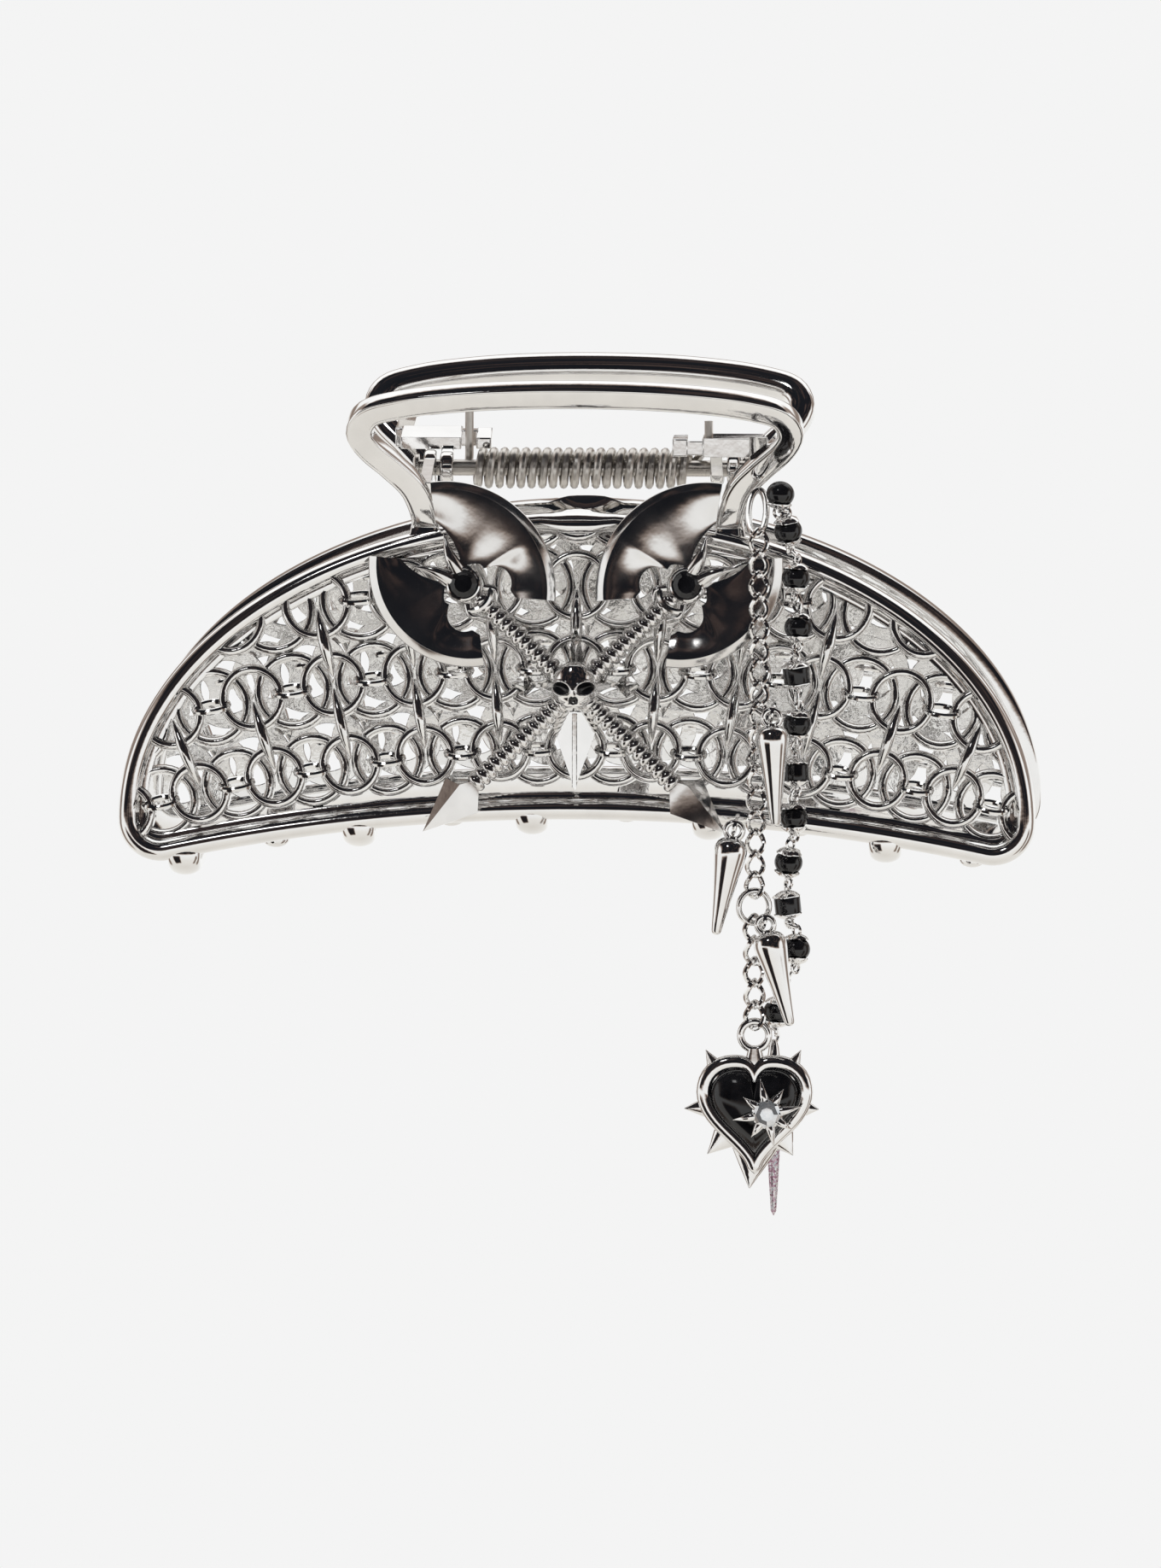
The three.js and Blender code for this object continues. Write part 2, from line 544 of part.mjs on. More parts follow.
function beadGeometry(x, z) {
  const half = BEAD_HALF_LENGTH;
  const profile = [
    [0, -half], [0.35, -half], [0.35, -1.75], [1.5, -1.6], [1.5, -1.25], [BEAD_RADIUS, 0],
    [1.5, 1.25], [1.5, 1.6], [0.35, 1.75], [0.35, half], [0, half],
  ];
  const bead = new THREE.LatheGeometry(profile.map(([r, h]) => new THREE.Vector2(r, h)), 8);
  return bead.rotateX(Math.PI / 2).translate(x, -BEAD_LAYER, z);
}

// Heart outline with its notch at the top, `size` from the middle to each side
function heartPoints(size) {
  const points = [];
  const sides = 20;
  for (let i = 0; i < sides; i += 1) {
    const angle = (2 * Math.PI * i) / sides;
    const across = 16 * Math.sin(angle) ** 3;
    const up = 13 * Math.cos(angle) - 5 * Math.cos(2 * angle) - 2 * Math.cos(3 * angle) - Math.cos(4 * angle);
    points.push(new THREE.Vector2((across * size) / 16, (up * size) / 16));
  }
  return points.reverse();
}

// Heart-shaped setting with a thorn at each end of its seven rays, and the ring that it hangs by
function bezelGeometry() {
  const body = facePlate(new THREE.Shape(heartPoints(BEZEL_SIZE)), BEZEL_THICKNESS, HEART_BACK);
  const thorns = BEZEL_THORNS.map(([x, z]) => {
    const side = new THREE.Vector2(-z, x).setLength(THORN_ROOT);
    const root = new THREE.Vector2(x, z).multiplyScalar(0.55);
    const corners = [root.clone().sub(side), new THREE.Vector2(x, z), root.clone().add(side)];
    return facePlate(new THREE.Shape(corners), BEZEL_THICKNESS - 0.6, HEART_BACK + 0.3);
  });
  const hanger = ring(HEART_RING_RADIUS, HEART_RING_RADIUS, 0.45, 0);
  hanger.translate(0, -CHAIN_LAYER, HEART_RING_Z - HEART_Z);
  const neck = box(-0.7, 0.7, HEART_BACK + 0.4, HEART_BACK + 1.6, 0.5, HEART_RING_Z - HEART_Z - 1.3);
  return union([body, ...thorns, neck, hanger]).translate(HEART_X, 0, HEART_Z);
}

function stoneGeometry() {
  const shape = new THREE.Shape(heartPoints(STONE_SIZE - 0.9));
  const bevel = { bevelEnabled: true, bevelThickness: 1.2, bevelSize: 0.9, bevelSegments: 2, depth: 0.01 };
  const geometry = new THREE.ExtrudeGeometry(shape, { ...bevel, curveSegments: 6 });
  const middle = HEART_BACK + BEZEL_THICKNESS + GAP + STONE_DOME / 2;
  return geometry.rotateX(Math.PI / 2).translate(HEART_X, -middle, HEART_Z);
}

// Eight-clawed star on the heart, and the clear stone that it holds
function settingGeometry() {
  const points = [];
  for (let i = 0; i < 16; i += 1) {
    const radius = i % 2 ? 1.5 : 3.2;
    const angle = (-Math.PI * i) / 8;
    points.push(new THREE.Vector2(radius * Math.sin(angle), radius * Math.cos(angle)));
  }
  const out = HEART_BACK + BEZEL_THICKNESS + STONE_DOME + 2 * GAP;
  const star = facePlate(new THREE.Shape(points), 0.4, out);
  return star.translate(HEART_X + SETTING_AT[0], 0, HEART_Z + SETTING_AT[1]);
}

function rhinestoneGeometry() {
  const profile = [[0, 0], [1.5, 0], [1.5, 0.4], [0.9, 0.9], [0, 0.9]];
  const points = profile.map(([r, h]) => new THREE.Vector2(r, h));
  const stone = new THREE.LatheGeometry(points, 12).rotateX(Math.PI);
  const out = HEART_BACK + BEZEL_THICKNESS + STONE_DOME + 3 * GAP + 0.4;
  return stone.translate(HEART_X + SETTING_AT[0], -out, HEART_Z + SETTING_AT[1]);
}

function glitterGeometry() {
  const length = GLITTER_TOP - GLITTER_TIP;
  const profile = [[0, -length], [0.2, -length + 0.4], [0.85, -2.4], [0.4, 0], [0, 0]];
  const spike = new THREE.LatheGeometry(profile.map(([r, h]) => new THREE.Vector2(r, h)), 8);
  return spike.rotateX(Math.PI / 2).translate(GLITTER_X, -BEAD_LAYER, GLITTER_TOP);
}

// ---- Assembly -----------------------------------------------------------------------------------------
const clip = new THREE.Group();
clip.position.z = HINGE_HEIGHT;

const frontJaw = buildJaw('front');
const backJaw = buildJaw('back');
backJaw.rotation.z = Math.PI;
clip.add(frontJaw, backJaw);

clip.add(piece('hinge_pin', pinGeometry(), steel()));
clip.add(piece('torsion_spring', springGeometry(), steel()));

for (const [name, side] of [['left', -1], ['right', 1]]) {
  clip.add(piece(`axe_${name}`, axeGeometry(side), chrome()));
  clip.add(piece(`axe_gem_${name}`, gemGeometry(side), blackGloss()));
}
clip.add(piece('star_plate', starGeometry(), chrome()));
clip.add(piece('skull', skullGeometry(), chrome()));

clip.add(piece('anchor_ring', anchorGeometry(), chrome()));
let runTop = CHAIN_TOP;
let turn = Math.PI / 2;
CHAIN_RUNS.forEach(([count, x], i) => {
  clip.add(piece(`chain_run_${i + 1}`, chainGeometry(x, runTop, count, turn), chrome()));
  runTop -= (count - 1) * LINK_STEP + RUN_STEP;
  turn += (count * Math.PI) / 2;
});
const jumpRing = ring(JUMP_RING_RADIUS, JUMP_RING_RADIUS, JUMP_RING_WIRE, 0);
jumpRing.translate(LOWER_RUN[1], -CHAIN_LAYER, runTop - JUMP_RING_RADIUS);
clip.add(piece('jump_ring', jumpRing, chrome()));
const lowerTop = runTop - 2 * JUMP_RING_RADIUS + HOOK_OVERLAP;
const [lowerCount, lowerX] = LOWER_RUN;
clip.add(piece('chain_run_lower', chainGeometry(lowerX, lowerTop, lowerCount, Math.PI / 2), chrome()));
SPIKES.forEach(([x, z, lean], i) => clip.add(piece(`spike_${i + 1}`, spikeGeometry(x, z, lean), chrome())));

clip.add(piece('heart_bezel', bezelGeometry(), chrome()));
clip.add(piece('heart_stone', stoneGeometry(), blackGloss()));
clip.add(piece('star_setting', settingGeometry(), chrome()));
clip.add(piece('rhinestone', rhinestoneGeometry(), clearStone()));

BEADS.forEach(([x, z], i) => clip.add(piece(`bead_${i + 1}`, beadGeometry(x, z), blackGloss())));
clip.add(piece('glitter_spike', glitterGeometry(), glitter()));

export default clip;
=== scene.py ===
"""Looks of a large chrome claw hair clip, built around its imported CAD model.

Builders work in millimetres about the hinge axis: x along the clip, y away from the viewer, z up.
"""

import json
import math

import bmesh
import bpy
from mathutils import Matrix, Vector


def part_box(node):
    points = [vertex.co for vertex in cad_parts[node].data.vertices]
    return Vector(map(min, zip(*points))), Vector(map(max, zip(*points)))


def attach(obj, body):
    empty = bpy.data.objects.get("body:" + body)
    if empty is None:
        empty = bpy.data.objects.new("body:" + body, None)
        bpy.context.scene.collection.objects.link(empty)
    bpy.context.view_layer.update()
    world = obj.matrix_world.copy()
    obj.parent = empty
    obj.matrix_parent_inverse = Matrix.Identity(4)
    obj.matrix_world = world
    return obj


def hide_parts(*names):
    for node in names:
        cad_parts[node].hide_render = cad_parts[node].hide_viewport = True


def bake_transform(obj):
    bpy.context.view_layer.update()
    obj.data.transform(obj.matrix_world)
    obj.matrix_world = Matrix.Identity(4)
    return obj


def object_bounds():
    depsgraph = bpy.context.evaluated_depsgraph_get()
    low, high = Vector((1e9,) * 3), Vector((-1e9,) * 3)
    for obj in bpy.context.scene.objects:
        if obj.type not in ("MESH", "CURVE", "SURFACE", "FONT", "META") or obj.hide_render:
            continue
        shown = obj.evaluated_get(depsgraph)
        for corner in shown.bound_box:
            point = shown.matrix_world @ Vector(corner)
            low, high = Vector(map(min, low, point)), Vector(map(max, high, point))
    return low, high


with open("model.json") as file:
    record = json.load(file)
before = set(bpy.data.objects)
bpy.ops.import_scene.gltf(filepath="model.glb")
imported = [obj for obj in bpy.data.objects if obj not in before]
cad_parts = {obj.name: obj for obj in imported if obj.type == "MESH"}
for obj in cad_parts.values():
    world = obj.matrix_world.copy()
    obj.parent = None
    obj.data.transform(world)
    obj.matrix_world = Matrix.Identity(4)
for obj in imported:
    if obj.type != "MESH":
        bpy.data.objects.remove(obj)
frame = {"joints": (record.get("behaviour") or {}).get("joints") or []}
CAD_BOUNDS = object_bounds()

MM = 0.001
JOINTS = {joint["name"]: joint for joint in frame["joints"]}
HINGE = Vector(JOINTS["jaw_hinge"]["pos_m"])
TURN = 2 * math.pi

# Jaw surface: how far out of the hinge axis it lies at the waist, and how it flares and bows from there
WAIST_Z = -6
WAIST_OUT = 10
SHELL_DROP = 40
SHELL_FLARE = 5
SHELL_BOW = 1200
HANDLE_SLOPE = 0.45
HANDLE_CURL = 0.011

# Half-moon frame
FRAME_HALF_LENGTH = 53.8
FRAME_RISE = 35.7
FRAME_BASE_Z = -40
LOWER_EDGE_RADIUS = 225
FRAME_CORNER = 5
FRAME_WIDTH = 3.3

# Mail: rows of linked rings that fan out upwards
RING_PITCH = 9.5
ROW_STEP = 9.45
MIDDLE_ROW_Z = -22.3
ROW_ARC = 187
FAN_RADIUS = 131
FRONT_RING = 3.42
BACK_RING = 4.1
MAIL_WIRE = 0.52
FRONT_RING_LIFT = 0.35
BACK_RING_LIFT = -0.55
CLASP_LIFT = 0.95

# Handle loop, half of its centre line from the foot to the middle of the finger bar
HANDLE_LINE = [
    (17.9, -8.2), (17.85, -5.9), (17.9, -4.6), (19.1, -1.2), (21.4, 1.3), (24.1, 3.8), (25.1, 5.4),
    (25.1, 6.5), (24.1, 7.9), (20.6, 9), (12.1, 10.05), (0, 10.45),
]

PIN_RADIUS = 0.95
SPRING_TURNS = 20
SPRING_WIRE = 0.5
SPRING_RADIUS = 1.95
SPRING_HALF_LENGTH = 12.6

# Axes: middle of the hub across and up, tilt of the haft in radians, distance in front of the jaw surface
AXE_HUB = (13.05, -12.4)
AXE_TILT = 0.815
AXE_OUT = 3.5
HAFT_LENGTH = 36.6
BLADE_CENTRE = (-2.1, 1.0)
BLADE_SPREAD = 0.9

SKULL_Z = -24
SKULL_OUT = 4.7
STAR_OUT = 1.3
LINK_PITCH = 2.35
LOWER_LINK_PITCH = 2.5
BARREL_BEADS = (5, 7, 10)


# ---- Mesh code ----
class Shape:
    """A growing mesh: points in millimetres, and faces with a material number each."""

    def __init__(self):
        self.points = []
        self.faces = []
        self.marks = []

    def grid(self, rows, closed=False, mark=0, capped=True):
        """Skins rows of points, each a closed loop of the same length."""
        base = len(self.points)
        count = len(rows[0])
        for row in rows:
            self.points.extend(Vector(p) for p in row)
        steps = len(rows) if closed else len(rows) - 1
        for i in range(steps):
            here = base + i * count
            there = base + ((i + 1) % len(rows)) * count
            for j in range(count):
                k = (j + 1) % count
                self.faces.append((here + j, here + k, there + k, there + j))
                self.marks.append(mark)
        if capped and not closed:
            last = base + (len(rows) - 1) * count
            self.faces.append(tuple(base + j for j in range(count)))
            self.faces.append(tuple(last + j for j in range(count)))
            self.marks += [mark, mark]
        return self

    def hull(self, points, mark=0):
        """Adds the convex hull of a few points."""
        mesh = bmesh.new()
        for p in points:
            mesh.verts.new(p)
        made = bmesh.ops.convex_hull(mesh, input=mesh.verts)
        bmesh.ops.delete(mesh, geom=made["geom_interior"], context="VERTS")
        mesh.verts.index_update()
        base = len(self.points)
        self.points.extend(v.co.copy() for v in mesh.verts)
        for face in mesh.faces:
            self.faces.append(tuple(base + v.index for v in face.verts))
            self.marks.append(mark)
        mesh.free()
        return self

    def add(self, other, matrix):
        """Adds a copy of another shape, placed by a matrix."""
        base = len(self.points)
        self.points.extend(matrix @ p for p in other.points)
        self.faces.extend(tuple(base + i for i in face) for face in other.faces)
        self.marks.extend(other.marks)
        return self


def arc(x, z, radius_x, radius_z, start, end, steps):
    """Points of an elliptical arc about (x, z), both ends included."""
    angles = [start + (end - start) * i / steps for i in range(steps + 1)]
    return [(x + radius_x * math.cos(angle), z + radius_z * math.sin(angle)) for angle in angles]


def round_section(width, depth=None, sides=10):
    """Ellipse as (across, front) pairs."""
    depth = width if depth is None else depth
    return arc(0, 0, width, depth, 0, TURN, sides)[:-1]


def tangents(path, closed):
    """Direction of travel at each point of a path."""
    count = len(path)
    found = []
    for i in range(count):
        ahead = path[(i + 1) % count] if closed or i + 1 < count else path[i]
        behind = path[i - 1] if closed or i > 0 else path[i]
        found.append((ahead - behind).normalized())
    return found


def carried_fronts(path, first):
    """Fronts that turn as little as possible along an open path."""
    fronts = []
    front = Vector(first)
    for along in tangents(path, False):
        front = (front - along * front.dot(along)).normalized()
        fronts.append(front)
    return fronts


def sweep(shape, path, section, front=(0, -1, 0), closed=False, scale=None, mark=0):
    """Carries a section of (across, front) pairs along a path. `front` is one direction or one per point."""
    rows = []
    for i, (point, along) in enumerate(zip(path, tangents(path, closed))):
        ahead = Vector(front[i]) if isinstance(front, list) else Vector(front)
        ahead = (ahead - along * ahead.dot(along)).normalized()
        across = along.cross(ahead)
        size = scale[i] if scale else (1, 1)
        rows.append([point + across * (a * size[0]) + ahead * (b * size[1]) for a, b in section])
    return shape.grid(rows, closed, mark)


def lathe(shape, profile, centre=(0, 0, 0), axis=(0, 0, 1), sides=28, mark=0, wave=None):
    """Turns a profile of (radius, along) pairs about an axis. `wave` scales the radius by angle and place."""
    axis = Vector(axis).normalized()
    one = axis.orthogonal().normalized()
    two = axis.cross(one)
    rows = []
    for place, (radius, along) in enumerate(profile):
        row = []
        for i in range(sides):
            angle = TURN * i / sides
            size = radius * (wave(angle, place) if wave else 1)
            row.append(Vector(centre) + axis * along + (one * math.cos(angle) + two * math.sin(angle)) * size)
        rows.append(row)
    return shape.grid(rows, mark=mark)


def oval(centre, across, up, half_width, half_height, steps):
    """Closed oval path in the plane of two directions."""
    across = Vector(across).normalized()
    up = Vector(up).normalized()
    loop = round_section(half_width, half_height, steps)
    return [Vector(centre) + across * u + up * v for u, v in loop]


def wire_ring(shape, centre, across, up, half_width, half_height, wire, steps, sides, mark=0):
    """Closed ring of round wire in the plane of two directions."""
    facing = Vector(across).cross(Vector(up))
    path = oval(centre, across, up, half_width, half_height, steps)
    return sweep(shape, path, round_section(wire, sides=sides), facing, closed=True, mark=mark)


def smooth_line(points, steps):
    """Centripetal Catmull-Rom curve through points, resampled evenly."""
    points = [Vector(p) for p in points]
    ends = [2 * points[0] - points[1]] + points + [2 * points[-1] - points[-2]]
    dense = []
    for a, b, c, d in zip(ends, ends[1:], ends[2:], ends[3:]):
        gaps = [max((q - p).length, 1e-6) ** 0.5 for p, q in ((a, b), (b, c), (c, d))]
        start = (b - a) / gaps[0] - (c - a) / (gaps[0] + gaps[1]) + (c - b) / gaps[1]
        finish = (c - b) / gaps[1] - (d - b) / (gaps[1] + gaps[2]) + (d - c) / gaps[2]
        start, finish = start * gaps[1], finish * gaps[1]
        for i in range(16):
            t = i / 16
            dense.append(
                b * (2 * t**3 - 3 * t**2 + 1) + start * (t**3 - 2 * t**2 + t)
                + c * (3 * t**2 - 2 * t**3) + finish * (t**3 - t**2)
            )
    dense.append(points[-1])
    lengths = [0]
    for p, q in zip(dense, dense[1:]):
        lengths.append(lengths[-1] + (q - p).length)
    line = []
    at = 0
    for i in range(steps + 1):
        target = lengths[-1] * i / steps
        while at < len(dense) - 2 and lengths[at + 1] < target:
            at += 1
        share = (target - lengths[at]) / max(lengths[at + 1] - lengths[at], 1e-9)
        line.append(dense[at].lerp(dense[at + 1], min(max(share, 0), 1)))
    return line


def new_object(name, data):
    made = bpy.data.objects.new(name, data)
    bpy.context.scene.collection.objects.link(made)
    return made


def build(name, shape, materials, body, nodes=(), sharp=38, flip=False, bevel=0.0):
    """Makes a piece of a shape, on a body, in place of CAD nodes. `flip` turns it to the back jaw."""
    turn = Matrix.Rotation(math.pi, 4, "Z") if flip else Matrix.Identity(4)
    mesh = bpy.data.meshes.new(name)
    mesh.from_pydata([HINGE + (turn @ p) * MM for p in shape.points], [], shape.faces)
    mesh.polygons.foreach_set("material_index", shape.marks)
    tidy = bmesh.new()
    tidy.from_mesh(mesh)
    bmesh.ops.remove_doubles(tidy, verts=tidy.verts, dist=0.001 * MM)
    bmesh.ops.dissolve_degenerate(tidy, edges=tidy.edges, dist=0.001 * MM)
    bmesh.ops.recalc_face_normals(tidy, faces=tidy.faces)
    tidy.to_mesh(mesh)
    tidy.free()
    mesh.shade_smooth()
    mesh.set_sharp_from_angle(angle=math.radians(sharp))
    piece = new_object(name, mesh)
    for material in materials if isinstance(materials, list) else [materials]:
        mesh.materials.append(material)
    if bevel:
        edge = piece.modifiers.new("edge", "BEVEL")
        edge.width = bevel * MM
        edge.segments = 3
        edge.limit_method = "ANGLE"
        edge.angle_limit = math.radians(30)
    if body:
        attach(piece, body)
    if nodes:
        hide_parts(*nodes)
    return piece


# ---- Materials ----
def fill(tree, node, inputs):
    """Gives a node its inputs: plain values, or outputs of other nodes that are linked to it."""
    for name, value in inputs.items():
        if isinstance(value, bpy.types.NodeSocket):
            tree.links.new(value, node.inputs[name])
        else:
            node.inputs[name].default_value = value
    return node


def shader(name):
    material = bpy.data.materials.new(name)
    material.use_nodes = True
    tree = material.node_tree
    return material, tree, tree.nodes["Principled BSDF"]


def noise(tree, scale, detail=3.0, space="Object"):
    """Noise with `scale` features per metre, or per unit of another space."""
    place = tree.nodes.new("ShaderNodeTexCoord").outputs[space]
    texture = tree.nodes.new("ShaderNodeTexNoise")
    return fill(tree, texture, {"Vector": place, "Scale": scale, "Detail": detail}).outputs["Fac"]


def ramp(tree, value, stops):
    """Colour ramp fed by a value; stops are (place, colour) pairs."""
    node = fill(tree, tree.nodes.new("ShaderNodeValToRGB"), {"Fac": value})
    line = node.color_ramp
    for place, colour in stops[1:-1]:
        line.elements.new(place)
    for element, (place, colour) in zip(line.elements, stops):
        element.position = place
        element.color = (*colour, 1)
    return node.outputs["Color"]


def spread(tree, value, low, high):
    """Maps the usual reach of a noise to a range."""
    inputs = {"Value": value, "From Min": 0.3, "From Max": 0.7, "To Min": low, "To Max": high}
    return fill(tree, tree.nodes.new("ShaderNodeMapRange"), inputs).outputs["Result"]


def bump(tree, height, depth_mm):
    inputs = {"Height": height, "Strength": 1, "Distance": depth_mm * MM}
    return fill(tree, tree.nodes.new("ShaderNodeBump"), inputs).outputs["Normal"]


def cloudy(name, scale, tints, polish, places=(0.3, 0.7)):
    """Material whose colour and polish vary a little from place to place."""
    material, tree, bsdf = shader(name)
    cloud = noise(tree, scale)
    tint = ramp(tree, cloud, list(zip(places, tints)))
    fill(tree, bsdf, {"Base Color": tint, "Roughness": spread(tree, cloud, *polish)})
    return material, tree, bsdf


def metal(name, tints, polish, ripple, ripple_scale=900):
    """Plated metal with the faint ripple of a casting."""
    material, tree, bsdf = cloudy(name, 260, tints, polish)
    fill(tree, bsdf, {"Metallic": 1, "Normal": bump(tree, noise(tree, ripple_scale, 2), ripple)})
    return material


def black_gloss(name):
    material, tree, bsdf = cloudy(name, 500, [(0.004, 0.004, 0.005), (0.012, 0.012, 0.014)], (0.05, 0.12))
    fill(tree, bsdf, {"IOR": 1.55})
    return material


def clear_stone():
    tints = [(0.62, 0.66, 0.70), (0.93, 0.94, 0.96)]
    material, tree, bsdf = cloudy("clear_stone", 700, tints, (0.03, 0.08), (0.35, 0.65))
    fill(tree, bsdf, {"Metallic": 0.75, "Coat Weight": 1, "Coat Roughness": 0.02})
    return material


def glitter_enamel():
    """Fine flakes, each with a colour, tilt and polish of its own."""
    material, tree, bsdf = shader("glitter_enamel")
    place = tree.nodes.new("ShaderNodeTexCoord").outputs["Object"]
    flakes = fill(tree, tree.nodes.new("ShaderNodeTexVoronoi"), {"Scale": 4200, "Vector": place})
    split = fill(tree, tree.nodes.new("ShaderNodeSeparateColor"), {"Color": flakes.outputs["Color"]})
    red, green, blue = split.outputs
    colours = [
        (0.0, (0.30, 0.12, 0.20)),
        (0.45, (0.72, 0.54, 0.64)),
        (0.7, (0.88, 0.86, 0.87)),
        (1.0, (0.6, 0.66, 0.72)),
    ]
    fill(tree, bsdf, {
        "Base Color": ramp(tree, red, colours),
        "Metallic": 0.8,
        "Roughness": spread(tree, green, 0.15, 0.45),
        "Coat Weight": 0.6,
        "Normal": bump(tree, blue, 0.05),
    })
    return material


CHROME = metal("chrome", [(0.86, 0.855, 0.85), (0.93, 0.925, 0.92)], (0.04, 0.09), 0.008)
CAST = metal("chrome_cast", [(0.80, 0.795, 0.785), (0.92, 0.915, 0.91)], (0.06, 0.12), 0.03, 1300)
BLADE = metal("chrome_blade", [(0.78, 0.77, 0.76), (0.88, 0.87, 0.86)], (0.08, 0.15), 0.012, 700)
STEEL = metal("spring_steel", [(0.64, 0.61, 0.57), (0.78, 0.75, 0.71)], (0.26, 0.34), 0.012, 1500)
BLACK = black_gloss("black_gloss")
ENAMEL = black_gloss("black_enamel")
STONE = clear_stone()
GLITTER = glitter_enamel()


# ---- Jaw surface ----
def shell_out(x, z):
    """Distance of the jaw surface in front of the hinge axis."""
    above = z - WAIST_Z
    share = -above / SHELL_DROP
    if above > 0:
        rise = HANDLE_SLOPE * above + HANDLE_CURL * above * above
    else:
        rise = SHELL_FLARE * share + 4 * share * (1 - share)
    return WAIST_OUT + rise - x * x / (2 * SHELL_BOW)


def shell_front(x, z):
    """Direction that the front of the shell faces."""
    step = 0.05
    slope = (shell_out(x, z + step) - shell_out(x, z - step)) / (2 * step)
    return Vector((x / SHELL_BOW, -1, -slope)).normalized()


def on_shell(x, z, lift=0.0):
    return Vector((x, -shell_out(x, z), z)) + shell_front(x, z) * lift


def along_shell(shape, places, section, lift=0.0, closed=False, scale=None):
    """Sweeps a section along (x, z) places on the jaw surface, facing the way the surface does."""
    path = [on_shell(x, z, lift) for x, z in places]
    fronts = [shell_front(x, z) for x, z in places]
    return sweep(shape, path, section, fronts, closed, scale)


def frame_outline(inset):
    """Half-moon of (x, z) points, from its right end over the top, `inset` inside the outer edge."""
    half_length = FRAME_HALF_LENGTH - inset
    rise = FRAME_RISE - inset
    corner = max(FRAME_CORNER - inset, 1.4)
    edge_radius = LOWER_EDGE_RADIUS + inset
    edge_centre = FRAME_BASE_Z - LOWER_EDGE_RADIUS
    corner_x = half_length - corner
    corner_z = edge_centre + math.sqrt((edge_radius + corner) ** 2 - corner_x**2)
    start = max(0, math.asin((corner_z - FRAME_BASE_Z) / rise))
    lean = math.atan2(corner_x, corner_z - edge_centre)
    quarter = math.pi / 2
    top = arc(0, FRAME_BASE_Z, half_length, rise, start, math.pi - start, 150)
    left = arc(-corner_x, corner_z, corner, corner, math.pi, 3 * quarter + lean, 14)
    edge = arc(0, edge_centre, edge_radius, edge_radius, quarter + lean, quarter - lean, 70)
    right = arc(corner_x, corner_z, corner, corner, 3 * quarter - lean, TURN, 14)
    return top + left[1:] + edge[1:-1] + right[:-1]


def inside_frame(x, z, inset):
    """Whether a place on the jaw lies inside the frame's outer edge by more than `inset`."""
    along = x / (FRAME_HALF_LENGTH - inset)
    up = (z - FRAME_BASE_Z) / (FRAME_RISE - inset)
    from_edge = math.hypot(x, z - FRAME_BASE_Z + LOWER_EDGE_RADIUS) - LOWER_EDGE_RADIUS
    return along * along + max(up, 0) ** 2 < 1 and from_edge > inset


# ---- Jaw pieces ----
def frame_bar():
    """Half-round ridge around the jaw, with a narrow step down to the mail."""
    section = [(1.35, -1.5), (1.6, -1.3), (1.65, -1.0)]
    section += arc(0.35, -0.25, 1.3, 1.75, 0, 0.9589 * math.pi, 14)
    section += [(-1.0, 0.12), (-1.5, 0.05), (-1.65, -0.1), (-1.65, -1.1), (-1.4, -1.45), (-1.0, -1.55)]
    return along_shell(Shape(), frame_outline(FRAME_WIDTH / 2), section, closed=True)


def fan_place(column, row):
    """Place and size of a ring by column and row, and the lean of its column."""
    x = RING_PITCH * column
    size = 1 + ROW_STEP * row / FAN_RADIUS
    lean = x / FAN_RADIUS
    z = MIDDLE_ROW_Z - x * x / (2 * ROW_ARC)
    return x + ROW_STEP * row * math.sin(lean), z + ROW_STEP * row * math.cos(lean), size, lean


def clipped_runs(points, inset):
    """Splits a closed loop of flat points into the runs that lie inside the frame."""
    inside = [inside_frame(x, z, inset) for x, z in points]
    if all(inside):
        return [(points, True)]
    if not any(inside):
        return []
    count = len(points)
    first = next(i for i in range(count) if inside[i] and not inside[i - 1])
    runs = []
    run = []
    for step in range(count + 1):
        at = (first + step) % count
        if inside[at] and step < count:
            run.append(points[at])
        elif run:
            if len(run) > 2:
                runs.append((run, False))
            run = []
    return runs


def mail_ring(shape, x, z, radius, lift, lean, base):
    """Ring of the mail, as far as it lies inside the frame: a round front on a flat foot."""
    foot = [(MAIL_WIRE, -0.12), (base, -0.4), (base * 0.9, -0.5)]
    section = arc(0, 0, MAIL_WIRE, MAIL_WIRE * 1.2, 0, math.pi, 6)
    section += [(-across, front) for across, front in foot] + foot[::-1]
    loop = arc(x, z, radius, radius, lean, lean + TURN, 40)[:-1]
    for run, closed in clipped_runs(loop, FRAME_WIDTH * 0.45):
        along_shell(shape, run, section, lift, closed)


def needle(shape, top, bottom, width, lift):
    """Upright joining ring seen on edge: a pointed, bulging bar."""
    path = []
    scale = []
    steps = 12
    for i in range(steps + 1):
        share = i / steps
        bulge = math.sin(math.pi * share)
        x = top[0] + (bottom[0] - top[0]) * share
        z = top[1] + (bottom[1] - top[1]) * share
        path.append(on_shell(x, z, lift + 1.15 * bulge))
        size = 0.12 + 0.88 * bulge**0.7
        scale.append((size, size))
    if inside_frame(path[0].x, path[0].z, 1.6) and inside_frame(path[-1].x, path[-1].z, 1.6):
        sweep(shape, path, round_section(width, 0.6, 10), shell_front(*top), scale=scale)


def clasp(shape, x, z, lean, size, lift):
    """Level joining ring seen nearly on edge."""
    if not inside_frame(x, z, 3.0):
        return
    front = shell_front(x, z)
    across = Vector((math.cos(lean * 0.4), 0, -math.sin(lean * 0.4)))
    path = oval(on_shell(x, z, lift), across, front + Vector((0, 0, -0.5)), 2.0 * size, 1.3 * size, 22)
    upright = across.cross(front)
    sweep(shape, path, round_section(0.4, 0.4, 8), upright, closed=True)


